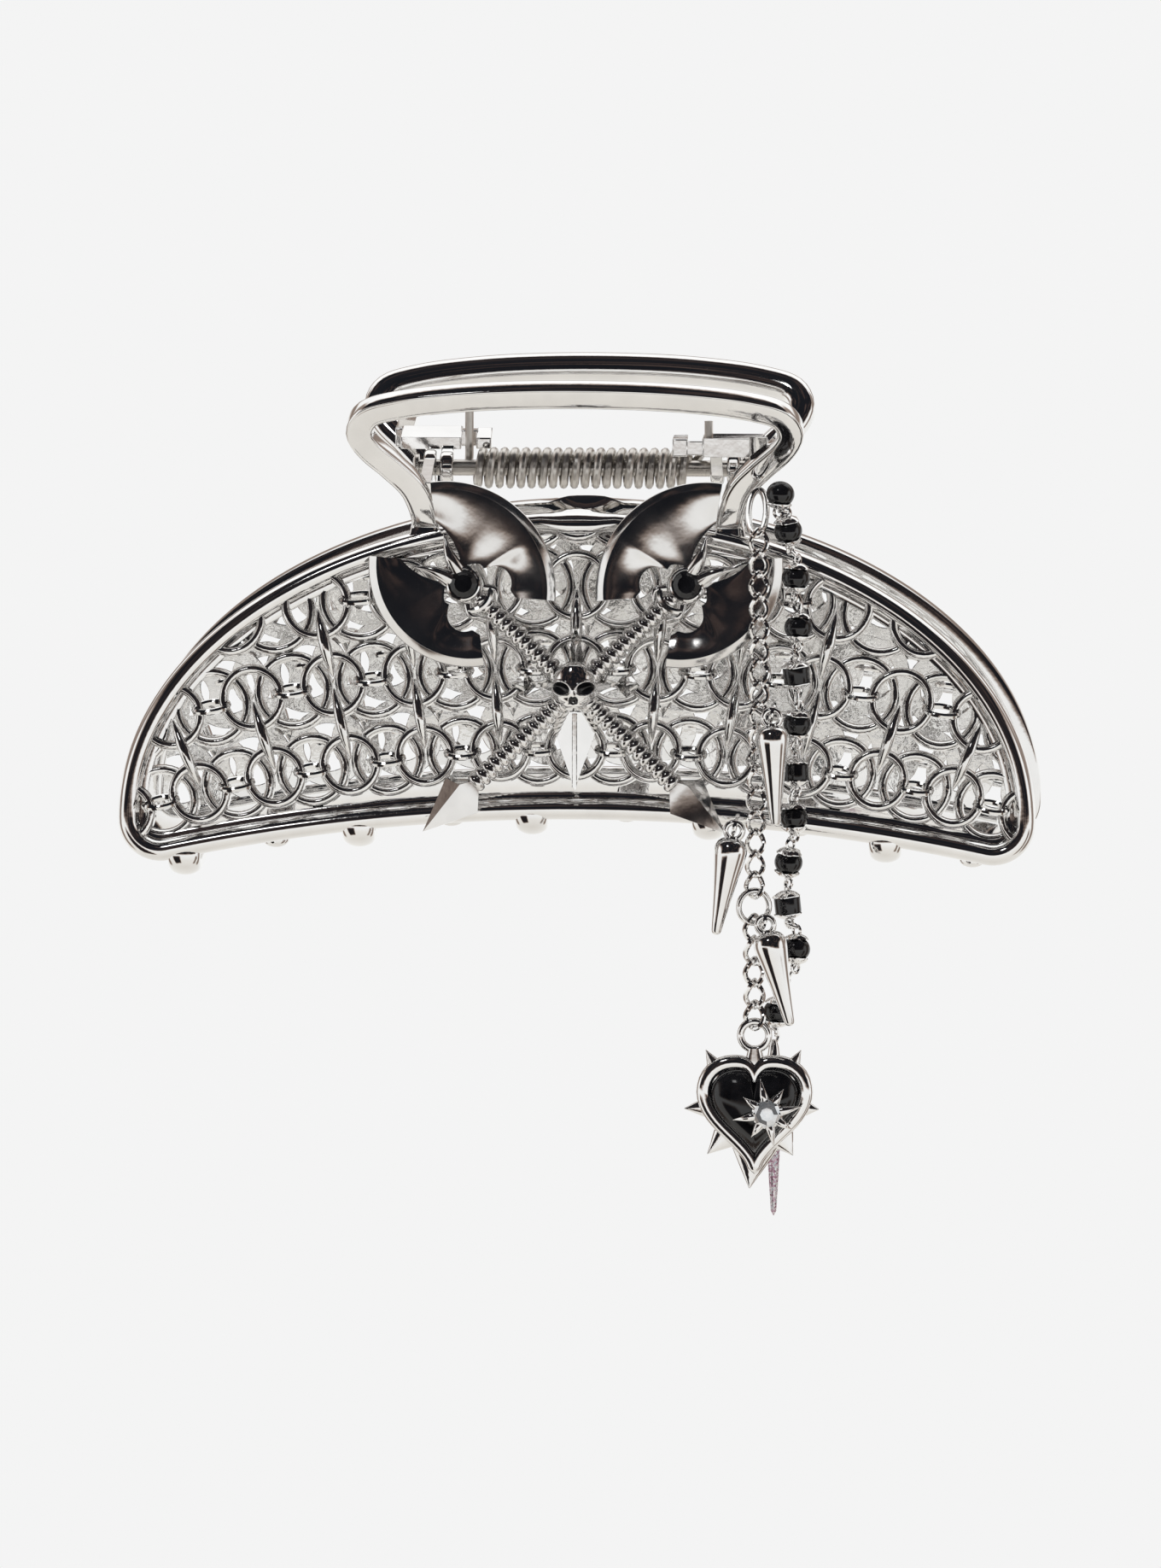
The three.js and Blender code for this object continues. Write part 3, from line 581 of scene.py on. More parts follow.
def mail(base):
    """Linked rings; `base` is the half-width of their flat inner side."""
    shape = Shape()
    for row in (-1, 0, 1, 2):
        for half in range(-12, 13):
            x, z, size, lean = fan_place(half / 2, row)
            if half % 2 == 0:
                mail_ring(shape, x, z, FRONT_RING * size, FRONT_RING_LIFT, lean, base)
                if row < 2:
                    above = fan_place(half / 2, row + 1)
                    top = (above[0] * 0.95 + x * 0.05, above[1] - 0.05 * (above[1] - z))
                    needle(shape, top, (x, z + 0.9), 0.72 * size, FRONT_RING_LIFT)
            else:
                mail_ring(shape, x, z, BACK_RING * size, BACK_RING_LIFT, lean, base)
                clasp(shape, x, z, lean, size, CLASP_LIFT)
    return shape


def handle_loop():
    """Finger loop: flat front face between two fine ridges, rounded back, feet that widen."""
    left = [(-x, z, 0) for x, z in HANDLE_LINE]
    right = [(x, z, 0) for x, z in reversed(HANDLE_LINE[:-1])]
    places = [(p.x, p.y) for p in smooth_line(left + right, 150)]
    ridge = [(1.56, 0.3), (1.54, 0.9), (1.47, 1.06), (1.36, 1.12), (1.24, 1.08), (1.12, 1.12), (0.9, 1.16)]
    section = arc(0, -0.35, 1.55, 0.95, math.pi, TURN, 12)
    section += ridge + [(-across, front) for across, front in reversed(ridge)]
    feet = [min(max((-4.2 - z) / 4, 0), 1) for x, z in places]
    scale = [(1 + 0.35 * foot * foot, 1) for foot in feet]
    return along_shell(Shape(), places, section, scale=scale)


def slab(shape, corners, x0, x1):
    """Straight extrusion along x of a convex outline of (out, z) pairs."""
    return shape.hull([(x, -out, z) for x in (x0, x1) for out, z in corners])


def knuckle(shape, x0, x1, radius):
    """Round bearing about the hinge axis, with rounded rims."""
    bore = 0.9
    round_off = 0.25
    profile = [(bore, x0), (radius - round_off, x0), (radius, x0 + round_off)]
    profile += [(radius, x1 - round_off), (radius - round_off, x1), (bore, x1)]
    lathe(shape, profile, axis=(1, 0, 0), sides=32)


def jaw_lug():
    """Plain lug on the left foot of the handle."""
    shape = Shape()
    knuckle(shape, -18.6, -17.1, 2.1)
    slab(shape, [(1.6, 1.3), (1.6, -1.5), (11.2, -4.4), (12.0, -1.0)], -18.5, -17.2)
    slab(shape, [(9.6, -4.8), (9.0, -1.0), (12.6, -0.6), (11.0, -5.4)], -19.4, -17.0)
    return shape


def jaw_arm(top_inner, top_outer):
    """Spring arm above the hinge: a bar, its end block past the leg's slot, a knuckle and a web."""
    shape = Shape()
    slab(shape, [(3, 1.9), (3, top_inner), (6.6, top_outer), (6.6, 1.9)], 14.4, 21.6)
    slab(shape, [(3.4, 1.9), (3.4, top_inner - 0.1), (6.3, top_outer - 0.1), (6.3, 1.9)], 10.9, 12.7)
    slab(shape, [(5.0, 2.1), (5.0, top_outer - 0.4), (6.5, top_outer - 0.3), (6.5, 2.1)], 12.5, 14.6)
    slab(shape, [(6.0, 1.9), (6.0, top_outer - 0.3), (16.4, 5.2), (14.0, 1.6)], 20.3, 22.4)
    slab(shape, [(1.0, 1.2), (1.4, -0.9), (5.9, 1.9), (3.1, 2.4)], 15.3, 16.7)
    knuckle(shape, 15.1, 16.7, 1.9)
    return shape


def tooth(shape, x):
    """Hook that leaves the lower edge downwards and reaches in under the hair, ending in a round tip."""
    half_width = 1.95
    edge = FRAME_BASE_Z - LOWER_EDGE_RADIUS + math.sqrt(LOWER_EDGE_RADIUS**2 - (abs(x) + half_width) ** 2)
    out = shell_out(x, edge)
    course = [(0, 1.6), (-0.2, 0.4), (1.1, -0.55), (5, -1.0), (10, -0.95), (15.2, -0.8)]
    steps = 36
    line = smooth_line([(x, -out + inwards, edge + up) for inwards, up in course], steps)
    scale = []
    for i in range(steps + 1):
        share = i / steps
        end = max(0, (share - 0.93) / 0.07)
        size = (1 - 0.2 * share) * math.sqrt(max(1 - end * end, 0.02))
        scale.append((size, 0.3 + 0.7 * size))
    section = round_section(half_width, 1.12, 22)
    return sweep(shape, line, section, carried_fronts(line, (0, -1, 0)), scale=scale)


def teeth():
    shape = Shape()
    for i in range(1, 6):
        low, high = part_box(f"front_tooth_{i}")
        tooth(shape, (low[0] + high[0]) / 2 / MM)
    return shape


def build_jaw(side, flip):
    """All pieces of a jaw. The back jaw is the front one turned half round, and differs a little."""
    body = f"{side}_jaw"
    build(f"{side}_frame_bar", frame_bar(), CHROME, body, [f"{side}_frame"], flip=flip)
    build(f"{side}_mail", mail(0.9 if flip else 0.6), CAST, body, [f"{side}_mail_panel"], flip=flip)
    build(f"{side}_handle_loop", handle_loop(), CHROME, body, [f"{side}_handle"], flip=flip)
    build(f"{side}_lug", jaw_lug(), CHROME, body, [f"{side}_pivot_lug"], flip=flip, bevel=0.22)
    tops = (3.3, 4.4) if flip else (4.4, 4.1)
    build(f"{side}_arm", jaw_arm(*tops), CHROME, body, [f"{side}_spring_arm"], flip=flip, bevel=0.2)
    build(f"{side}_teeth", teeth(), CHROME, body, [f"{side}_tooth_{i}" for i in range(1, 6)], flip=flip)


# ---- Hinge ----
def hinge_pin():
    """Plain rod with a low head at each end."""
    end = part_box("hinge_pin")[1][0] / MM
    profile = [(0, -end), (1.1, -end), (1.6, -end + 0.3), (1.6, -end + 0.7), (PIN_RADIUS, -end + 0.75)]
    profile += [(radius, -along) for radius, along in reversed(profile)]
    return lathe(Shape(), profile, axis=(1, 0, 0), sides=32)


def torsion_spring():
    """Close coil with a long leg up behind the back arm and a short stub through the front arm."""
    per_turn = 22
    steps = SPRING_TURNS * per_turn
    coil = []
    for i in range(steps + 1):
        angle = TURN * i / per_turn
        x = SPRING_HALF_LENGTH * (2 * i / steps - 1)
        coil.append(Vector((x, SPRING_RADIUS * math.cos(angle), -SPRING_RADIUS * math.sin(angle))))
    long_leg = [(-13.4, SPRING_RADIUS + 0.1, z) for z in (9.6, 7, 5, 3, 1.4, 0.5)]
    long_leg.append((-13.05, SPRING_RADIUS + 0.05, 0.1))
    stub = [(13.2, SPRING_RADIUS - 0.2, 0.6), (14.0, 0.9, 1.6), (14.8, -2.2, 2.2)]
    stub += [(15.05, -4.3, 2.6), (15.1, -4.6, 3.4), (15.1, -4.6, 6.0)]
    path = smooth_line(long_leg, 30)[:-1] + coil + smooth_line(stub, 30)
    return sweep(Shape(), path, round_section(SPRING_WIRE, sides=9), carried_fronts(path, (1, 0, 0)))


# ---- Axes ----
def shell_lean(top, bottom):
    """Angle by which the jaw surface leans out between two heights."""
    return math.atan((shell_out(0, bottom) - shell_out(0, top)) / (top - bottom))


def axe_matrix(side):
    """Puts an axe drawn upright, haft down, facing -y, on the jaw."""
    lean = shell_lean(AXE_HUB[1], AXE_HUB[1] - HAFT_LENGTH * math.cos(AXE_TILT))
    x = side * AXE_HUB[0]
    hub = Vector((x, -shell_out(x, AXE_HUB[1]) - AXE_OUT, AXE_HUB[1]))
    return Matrix.Translation(hub) @ Matrix.Rotation(-lean, 4, "X") @ Matrix.Rotation(side * AXE_TILT, 4, "Y")


def blade_inner(angle):
    """Distance of a blade's inner boundary from the centre of its edge: root, scallop and two horns."""
    across, along = math.cos(angle), math.sin(angle)
    reach = (1.0 - BLADE_CENTRE[0]) / max(across, 0.2)
    scallop = Vector((2.55 - BLADE_CENTRE[0], -2.5 - BLADE_CENTRE[1]))
    toward = scallop.x * across + scallop.y * along
    miss = abs(scallop.x * along - scallop.y * across)
    scallop_radius = 2.0
    if miss < scallop_radius:
        reach = max(reach, toward + math.sqrt(scallop_radius**2 - miss * miss))
    lower = min(max((0.2 - angle) / 0.4, 0), 1)
    reach = max(reach, 3.6 + 1.6 * lower * lower * (3 - 2 * lower))
    if angle < -0.42:
        reach = max(reach, 5.2 + 6.3 * (-angle - 0.42))
    if angle > 0.22:
        reach = max(reach, 3.6 + 7.4 * (angle - 0.22) ** 1.25)
    return reach


def blade(shape, half, radius):
    """Crescent with a narrow bevel at the edge and a shallow dish between edge and hub."""
    rays = 60
    dish_steps = 16
    rows = []
    for i in range(rays + 1):
        angle = BLADE_SPREAD * (2 * i / rays - 1)
        inner = min(blade_inner(angle), radius - 1.3)
        line = []
        for k in range(dish_steps + 1):
            share = k / dish_steps
            height = 0.35 + 0.75 * (share * share * (3 - 2 * share)) ** 0.9
            line.append((inner + (radius - 0.95 - inner) * share, height))
        line += [(radius - 0.93, 1.0), (radius - 0.1, 0.42), (radius, 0.3)]
        front = []
        for reach, height in line:
            x = half * (BLADE_CENTRE[0] + reach * math.cos(angle))
            front.append(Vector((x, -height, BLADE_CENTRE[1] + reach * math.sin(angle))))
        rows.append(front + [Vector((p.x, 0.35, p.z)) for p in reversed(front)])
    return shape.grid(rows)


# One ring of the haft: radius, and distance below the top of the ring
HAFT_RING = ((0.85, 0.0), (0.85, 0.1), (1.1, 0.17), (1.2, 0.32), (1.24, 0.56), (1.2, 0.8), (1.1, 0.95))

HAFT_PITCH = 1.03


def haft(shape):
    """Ringed grip with plain ends."""
    profile = [(0, -1.5), (1.0, -1.6)]
    along = 2.2
    while along < HAFT_LENGTH - 3.4:
        profile += [(radius, -along - down) for radius, down in HAFT_RING]
        along += HAFT_PITCH
    profile += [(0.9, -along), (0.9, -HAFT_LENGTH + 2.6), (0, -HAFT_LENGTH + 2.5)]
    return lathe(shape, profile, sides=20)


def pommel(shape, side):
    """Kite-shaped pyramid, long point outwards, its apex towards the upper edge."""
    low = -HAFT_LENGTH
    rim = [(0, low + 3.4), (2.75, low + 0.6), (0, low - 5.6), (-2.75, low + 0.6)]
    apex = (-side, -1.5, low + 1.3)
    return shape.hull([(x, y, z) for x, z in rim for y in (-0.35, 0.35)] + [apex])


def thorn(shape, path, radius):
    """Curved spike that narrows to a point."""
    steps = 12
    sizes = [max(1 - (i / steps) ** 1.3, 0.06) for i in range(steps + 1)]
    section = round_section(radius, radius * 0.9, 10)
    return sweep(shape, smooth_line(path, steps), section, scale=[(size, size) for size in sizes])


def axe(side):
    """Double-bladed axe, drawn upright with its haft down; the blade towards the middle is the larger."""
    shape = Shape()
    blade(shape, -side, 12.9)
    blade(shape, side, 11.9)
    haft(shape)
    pommel(shape, side)
    knob = [(0, 0.5), (2.2, 0.5), (2.25, -0.6), (2.05, -1.0), (1.95, -1.25), (0, -1.25)]
    lathe(shape, knob, axis=(0, 1, 0), sides=36)
    for half in (-1, 1):
        thorn(shape, [(half * 0.6, -0.7, 1.2), (half * 1.2, -1.5, 3.3), (half * 2.7, -1.3, 5.8)], 1.05)
        thorn(shape, [(half * 1.4, -0.9, -2.0), (half * 2.1, -1.1, -3.2), (half * 1.0, -1.2, -4.4)], 0.5)
    down = -math.pi / 2
    collar = [Vector((x, -1.0, z)) for x, z in arc(0, -1.2, 2.3, 2.3, down - 0.96, down + 0.96, 12)]
    sweep(shape, collar, round_section(0.42, 0.42, 8))
    return Shape().add(shape, axe_matrix(side))


def axe_gem(side):
    """Black faceted stone in a thin bezel."""
    shape = Shape()
    stone = [(0, -0.8), (1.72, -0.8), (1.72, -1.45), (1.05, -1.95), (0, -2.0)]
    lathe(shape, stone, axis=(0, 1, 0), sides=12)
    rim = [(1.66, -0.9), (1.66, -1.5), (1.8, -1.6), (1.97, -1.5), (1.99, -0.9)]
    lathe(shape, rim, axis=(0, 1, 0), sides=36, mark=1)
    return Shape().add(shape, axe_matrix(side))


# ---- Star and skull ----
def centre_matrix(out):
    """Puts a motif drawn about the crossing of the axes `out` in front of the jaw surface."""
    lean = shell_lean(SKULL_Z + 4, SKULL_Z - 4)
    return Matrix.Translation((0, -shell_out(0, SKULL_Z) - out, SKULL_Z)) @ Matrix.Rotation(-lean, 4, "X")


def star():
    """Four-pointed star with ridged points, its lower point a broad dagger blade."""
    shape = Shape()
    shape.hull([(0, -0.6, 8.2), (1.1, 0.2, 1.5), (-1.1, 0.2, 1.5), (0, -2.0, 1.0), (0, 0.2, 8.4)])
    point = [(1, 0.2, 1.3), (1, 0.2, -1.7), (0.8, -2.0, 0), (5.4, -0.9, 0), (5.6, 0.2, 0)]
    stud = [(6.0, -1.9, -0.1), (4.5, -0.3, -0.2), (7.5, -0.3, -0.2), (6.0, -0.3, 1.4), (6.0, -0.3, -1.7)]
    for half in (-1, 1):
        for corners in (point, stud):
            shape.hull([(half * x, y, z) for x, y, z in corners])
    dagger = [(0, -2.3, -3.4), (3.1, -0.6, -3.7), (-3.1, -0.6, -3.7), (3.0, 0.3, -3.6), (-3.0, 0.3, -3.6)]
    shape.hull(dagger + [(0, -1.1, -12.4), (0, 0.3, -12.5)])
    ridge = [Vector((0, y, z)) for y, z in ((-2.15, -3.6), (-1.7, -8), (-1.15, -12.2))]
    sweep(shape, ridge, round_section(0.3, 0.3, 8), (1, 0, 0))
    return Shape().add(shape, centre_matrix(STAR_OUT))


def eye_distance(u, v, half):
    """0 at the middle of an eye socket, 1 on its slanted oval outline."""
    across = u - half * 1.45
    return math.hypot(across / 1.05, (v + 0.35 - 0.22 * half * across) / 0.72)


def nostril_distance(u, v, half):
    """The same for a nostril."""
    across = u - half * 0.27
    return math.hypot(across / 0.3, (v + 1.75 + 0.3 * half * across) / 0.44)


def skull_width(v):
    """Half the width at a height: that of the dome, the cheeks or the jaw."""
    dome = 2.5 * math.sqrt(max(1 - ((v - 0.35) / 2.56) ** 2, 0)) if v > -0.4 else 0
    cheek = 2.75 * math.sqrt(max(1 - ((v + 0.75) / 1.5) ** 2, 0))
    jaw = 1.55 * (1 - max(0, (-2.2 - v) / 0.72) ** 2) ** 0.5 if -2.9 < v < -1.2 else 0
    return max(dome, cheek, jaw, 0.03)


def skull():
    """Small plain skull: domed brow, broad cheeks, dark eyes and nose."""
    shape = Shape()
    rows = []
    steps = 72
    for i in range(steps + 1):
        v = 2.9 - 5.8 * i / steps
        width = skull_width(v)
        depth = 0.35 + 2.3 * math.sqrt(max(1 - ((v - 0.3) / 3.4) ** 2, 0))
        row = []
        for j in range(steps + 1):
            angle = math.pi * j / steps
            u = width * math.cos(angle)
            h = depth * math.sin(angle) ** 0.75 * min(width / 1.6, 1)
            for half in (-1, 1):
                eye = eye_distance(u, v, half)
                h -= 0.75 * max(0, 1 - eye**2)
                h += 0.16 * math.exp(-((eye - 1.18) ** 2) / 0.02)
            nose = math.hypot(u / 0.55, (v + 1.75) / 0.5)
            h -= 0.45 * max(0, 1 - nose**2)
            row.append(Vector((u, -h - 0.2, v)))
        row += [Vector((width * math.cos(math.pi * j / 8), 0.6, v)) for j in range(8, -1, -1)]
        rows.append(row)
    shape.grid(rows)
    for index, face in enumerate(shape.faces):
        middle = sum((shape.points[i] for i in face), Vector()) / len(face)
        if len(face) > 4 or middle.y > -0.3:
            continue
        eyes = min(eye_distance(middle.x, middle.z, half) for half in (-1, 1))
        nostrils = min(nostril_distance(middle.x, middle.z, half) for half in (-1, 1))
        if eyes < 0.97 or nostrils < 1:
            shape.marks[index] = 1
    return Shape().add(shape, centre_matrix(SKULL_OUT))


# ---- Strands ----
def joint_place(name):
    """A joint's place in builder coordinates."""
    return (Vector(JOINTS[name]["pos_m"]) - HINGE) / MM


def middle_of(node):
    """The middle of a CAD node in builder coordinates."""
    low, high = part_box(node)
    return ((Vector(low) + Vector(high)) / 2 - HINGE) / MM


def curb_link(shape, centre, turn, size):
    """Oval link whose top and bottom are twisted against each other."""
    path = []
    for across, up in round_section(0.98 * size, 1.45 * size, 30):
        twist = turn + 0.95 * up / (1.45 * size)
        path.append(centre + Vector((across * math.cos(twist), across * math.sin(twist), up)))
    facing = (-math.sin(turn), math.cos(turn), 0.05)
    return sweep(shape, path, round_section(0.3 * size, sides=8), facing, closed=True)


def chain_run(top, bottom, first, pitch, size):
    """Links from one pivot down to the next, which alternate on from number `first`, and the next number."""
    shape = Shape()
    count = max(round((top.z - bottom.z) / pitch), 1)
    for i in range(count):
        turn = 0.45 if (first + i) % 2 else 0.25
        curb_link(shape, top.lerp(bottom, (i + 0.5) / count), turn, size)
    return shape, first + count


def anchor_ring():
    """Long ring from the handle's foot down to the first links."""
    shape = Shape()
    top = joint_place("anchor_swing")
    links = joint_place("chain_1_swing")
    bottom = Vector((top.x, links.y, links.z - 0.6))
    half_length = (bottom - top).length / 2
    wire_ring(shape, (top + bottom) / 2, (1, 0, 0), bottom - top, 1.05, half_length, 0.42, 34, 10)
    return shape


def spike(name):
    """Bullet-shaped spike on an eye, with the small ring that joins it to the chain."""
    shape = Shape()
    low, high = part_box(name)
    eye = joint_place(f"{name}_swing")
    length = (high[2] - low[2]) / MM - 0.6
    middle = middle_of(name)
    lean = math.atan2(middle.x - eye.x, eye.z - middle.z)
    profile = [(0, -1.15), (0.7, -1.2), (1.25, -1.4), (1.65, -1.75), (1.88, -2.2), (1.95, -2.7), (1.9, -3.4)]
    for i in range(1, 9):
        share = i / 9
        profile.append((1.9 - 1.25 * share - 0.08 * math.sin(math.pi * share), -3.4 - (length - 4.1) * share))
    profile += [(0.62, -length + 0.5), (0.52, -length + 0.22), (0.3, -length + 0.05), (0, -length)]
    lathe(shape, profile, sides=44)
    wire_ring(shape, (0, 0, -0.35), (1, 0, 0), (0, 0, 1), 1.0, 1.0, 0.33, 26, 10)
    lathe(shape, [(0, -0.95), (0.55, -1.0), (0.6, -1.25), (0, -1.3)], sides=20)
    placed = Shape().add(shape, Matrix.Translation(eye) @ Matrix.Rotation(-lean, 4, "Y"))
    to_chain = (middle_of("jump_ring").y - eye.y) / 2
    joining = eye + Vector((0, to_chain, 0.15))
    wire_ring(placed, joining, (0, 1, 0), (0.25, 0, 1), to_chain + 0.35, 1.1, 0.27, 26, 8)
    return placed


def petals(angle, place):
    """Scallops the widest part of a bead cap."""
    return 1 + (0.09 * math.cos(5 * angle) if place in (3, 4) else 0)


def bead(shape, node, number):
    """Black round or barrel bead between two petal-edged caps, with a wire loop at each end."""
    centre = middle_of(node)
    lean = 0.12 * math.sin(2.3 * number)
    axis = Vector((math.sin(lean), 0.15 * math.cos(1.7 * number), math.cos(lean))).normalized()
    barrel = number in BARREL_BEADS
    if barrel:
        core = [(0, -1.05), (1.35, -1.05), (1.5, -0.95), (1.55, -0.8)]
        core += [(radius, -along) for radius, along in reversed(core)]
    else:
        core = arc(0, 0, 1.66, 1.5, -math.pi / 2, math.pi / 2, 18)
    lathe(shape, core, centre, axis, sides=36)
    rise = 1.1 if barrel else 1.2
    reach = 1.6 if barrel else 1.45
    for end in (-1, 1) if number > 1 else (-1,):
        outline = [(0.3, 0.5), (0.75, 0.45), (1.15, 0.2), (reach, -0.12)]
        outline += [(reach, -0.02), (1.2, 0.32), (0.6, 0.58), (0.28, 0.62)]
        cap = [(radius, end * (rise + along)) for radius, along in outline]
        lathe(shape, cap, centre, axis, sides=40, mark=1, wave=petals)
        eye = centre + axis * end * (rise + 0.95)
        facing = (math.cos(number + end), math.sin(number + end), 0)
        wire_ring(shape, eye, facing, (0, 0, 1), 0.52, 0.62, 0.2, 18, 7, 1)
    return shape


def bead_strand(shape, top, bottom, number):
    """Twisted wire loops between two beads."""
    length = (top - bottom).length
    count = max(int(length / 1.5), 1)
    for i in range(count):
        centre = top.lerp(bottom, (i + 0.5) / count)
        turn = 1.4 * i + number
        facing = (math.cos(turn), math.sin(turn), 0)
        wire_ring(shape, centre, facing, top - bottom, 0.5, length / count * 0.62, 0.19, 18, 7, 1)


def heart_outline(size, steps=72):
    """Flat heart, `size` half as wide, with a shallow notch."""
    points = []
    for i in range(steps):
        angle = TURN * i / steps
        across = math.sin(angle) ** 3
        up = 13 * math.cos(angle) - 5 * math.cos(2 * angle) - 2 * math.cos(3 * angle) - math.cos(4 * angle)
        notch = 0.16 * math.exp(-((across / 0.3) ** 2)) if math.cos(angle) > 0 else 0
        points.append((across * size, (up * 1.13 / 16 + 0.06 + notch) * size))
    return points


def heart_loop(middle, out, size):
    """Heart outline in its place, `out` in front of the hinge axis."""
    return [Vector((middle.x + u, -out, middle.z + v)) for u, v in heart_outline(size)]


# Thorns of the heart: root and tip across and up from its middle, and half the width at the root
HEART_THORNS = [
    (-3.9, 3.6, -5.7, 6.9, 1.7),
    (3.7, 3.6, 5.4, 6.9, 1.7),
    (-4.9, 0.2, -8.2, 0.0, 1.6),
    (4.9, 0.2, 7.5, 0.0, 1.6),
    (-3.2, -3.0, -5.5, -5.3, 1.8),
    (3.0, -3.2, 4.5, -5.4, 1.8),
    (0, -4.2, -0.6, -9.3, 2.9),
]


def heart_setting(middle, back):
    """Heart-shaped rim with thorns and a flat back."""
    shape = Shape()
    plate = [(0.4, 0.2), (6.4, 0.2), (6.7, 0.6), (6.5, 1.2)]
    shape.grid([heart_loop(middle, back + out, size) for size, out in plate])
    sweep(shape, heart_loop(middle, back + 1.35, 5.95), round_section(0.9, 0.75, 12), closed=True)
    for u0, v0, u1, v1, root in HEART_THORNS:
        start = Vector((middle.x + u0, -back - 1.0, middle.z + v0))
        finish = Vector((middle.x + u1, -back - 1.15, middle.z + v1))
        line = [start.lerp(finish, i / 8) for i in range(9)]
        scale = [(root * (1 - i / 8.3), 1 - 0.6 * i / 8) for i in range(9)]
        sweep(shape, line, round_section(1, 0.75, 12), scale=scale)
    return shape


def heart_dome(middle, back):
    """Domed stone that fills the rim."""
    rows = []
    for i in range(13):
        angle = math.pi / 2 * i / 12
        size = 5.2 * math.cos(angle) ** 0.75 + 0.02
        rows.append(heart_loop(middle, back + 1.2 + 2.6 * math.sin(angle), size))
    return Shape().grid(rows)


def star_setting(centre):
    """Eight claws, long and short in turn, around the seat of a stone."""
    shape = Shape()
    for i in range(8):
        angle = TURN * i / 8 + 0.2
        ray = Vector((math.cos(angle), 0, math.sin(angle)))
        reach = 4.1 if i % 2 == 0 else 3.4
        course = ((1.2, -0.3), (2.4, -0.5), (reach, 0.1))
        thorn(shape, [centre + ray * far + Vector((0, y, 0)) for far, y in course], 0.62)
    lathe(shape, [(0, 0.1), (1.75, 0.1), (1.8, -0.35), (1.5, -0.6), (0, -0.5)], centre, (0, 1, 0), 24)
    return shape


def clear_gem(centre):
    """Eight-sided faceted stone with a small bead of metal at each corner."""
    shape = Shape()
    cut = [(0, -0.3), (1.7, -0.5), (1.7, -0.8), (1.3, -1.2), (0.8, -1.4), (0, -1.42)]
    lathe(shape, cut, centre, (0, 1, 0), 8)
    for x, z in round_section(1.42, sides=8):
        tip = centre + Vector((x, -0.9, z))
        lathe(shape, [(0, -0.22), (0.2, -0.12), (0.22, 0.05), (0, 0.2)], tip, (0, 1, 0), 8, mark=1)
    return shape


def build_chain():
    """Anchor ring, upper links, jump ring, lower links and the three spikes."""
    build("anchor_loop", anchor_ring(), CHROME, "anchor", ["anchor_ring"])
    pivots = [joint_place(f"chain_{i}_swing") for i in range(1, 5)] + [joint_place("jump_swing")]
    first = 0
    for i in range(1, 5):
        run, first = chain_run(pivots[i - 1], pivots[i], first, LINK_PITCH, 1)
        build(f"chain_links_{i}", run, CHROME, f"chain_{i}", [f"chain_run_{i}"])
    ring = Shape()
    wire_ring(ring, middle_of("jump_ring"), (1, 0.35, 0), (0, 0, 1), 1.85, 1.9, 0.36, 32, 10)
    build("jump_loop", ring, CHROME, "jump", ["jump_ring"])
    upper, lower = joint_place("chain_5_swing"), joint_place("heart_swing")
    lower_run = chain_run(upper, lower, 0, LOWER_LINK_PITCH, 1.08)[0]
    build("chain_links_5", lower_run, CHROME, "chain_5", ["chain_run_lower"])
    for i in range(1, 4):
        build(f"spike_cone_{i}", spike(f"spike_{i}"), CHROME, f"spike_{i}", [f"spike_{i}"])


def build_beads():
    """Six pairs of beads, each with the wire loops down to the bead below."""
    gap = Vector((0, 0, 2.0))
    for pair in range(1, 7):
        shape = Shape()
        upper, lower = 2 * pair - 1, 2 * pair
        bead(shape, f"bead_{upper}", upper)
        bead(shape, f"bead_{lower}", lower)
        bead_strand(shape, middle_of(f"bead_{upper}") - gap, middle_of(f"bead_{lower}") + gap, upper)
        if pair < 6:
            following = middle_of(f"bead_{lower + 1}") + gap * 1.3
            bead_strand(shape, middle_of(f"bead_{lower}") - gap, following, lower)
        nodes = [f"bead_{upper}", f"bead_{lower}"]
        build(f"bead_pair_{pair}", shape, [BLACK, CHROME], f"beads_{pair}", nodes)


def glitter_point():
    """Long enamelled spike on a small eye, bare metal at the top."""
    low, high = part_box("glitter_spike")
    place = middle_of("glitter_spike")
    place.z = (high[2] - HINGE.z) / MM
    length = (high[2] - low[2]) / MM
    shape = Shape()
    shaft = [(0.9, -5), (0.88, -10), (0.66, -15), (0.34, -length + 0.6), (0, -length)]
    lathe(shape, shaft, place, sides=24)
    lathe(shape, [(0, 0), (0.35, -0.1), (0.6, -0.8), (0.86, -2.2), (0.9, -5)], place, sides=24, mark=1)
    wire_ring(shape, place + Vector((0, 0, 0.45)), (1, 0.4, 0), (0, 0, 1), 0.6, 0.75, 0.22, 20, 8, 1)
    return shape


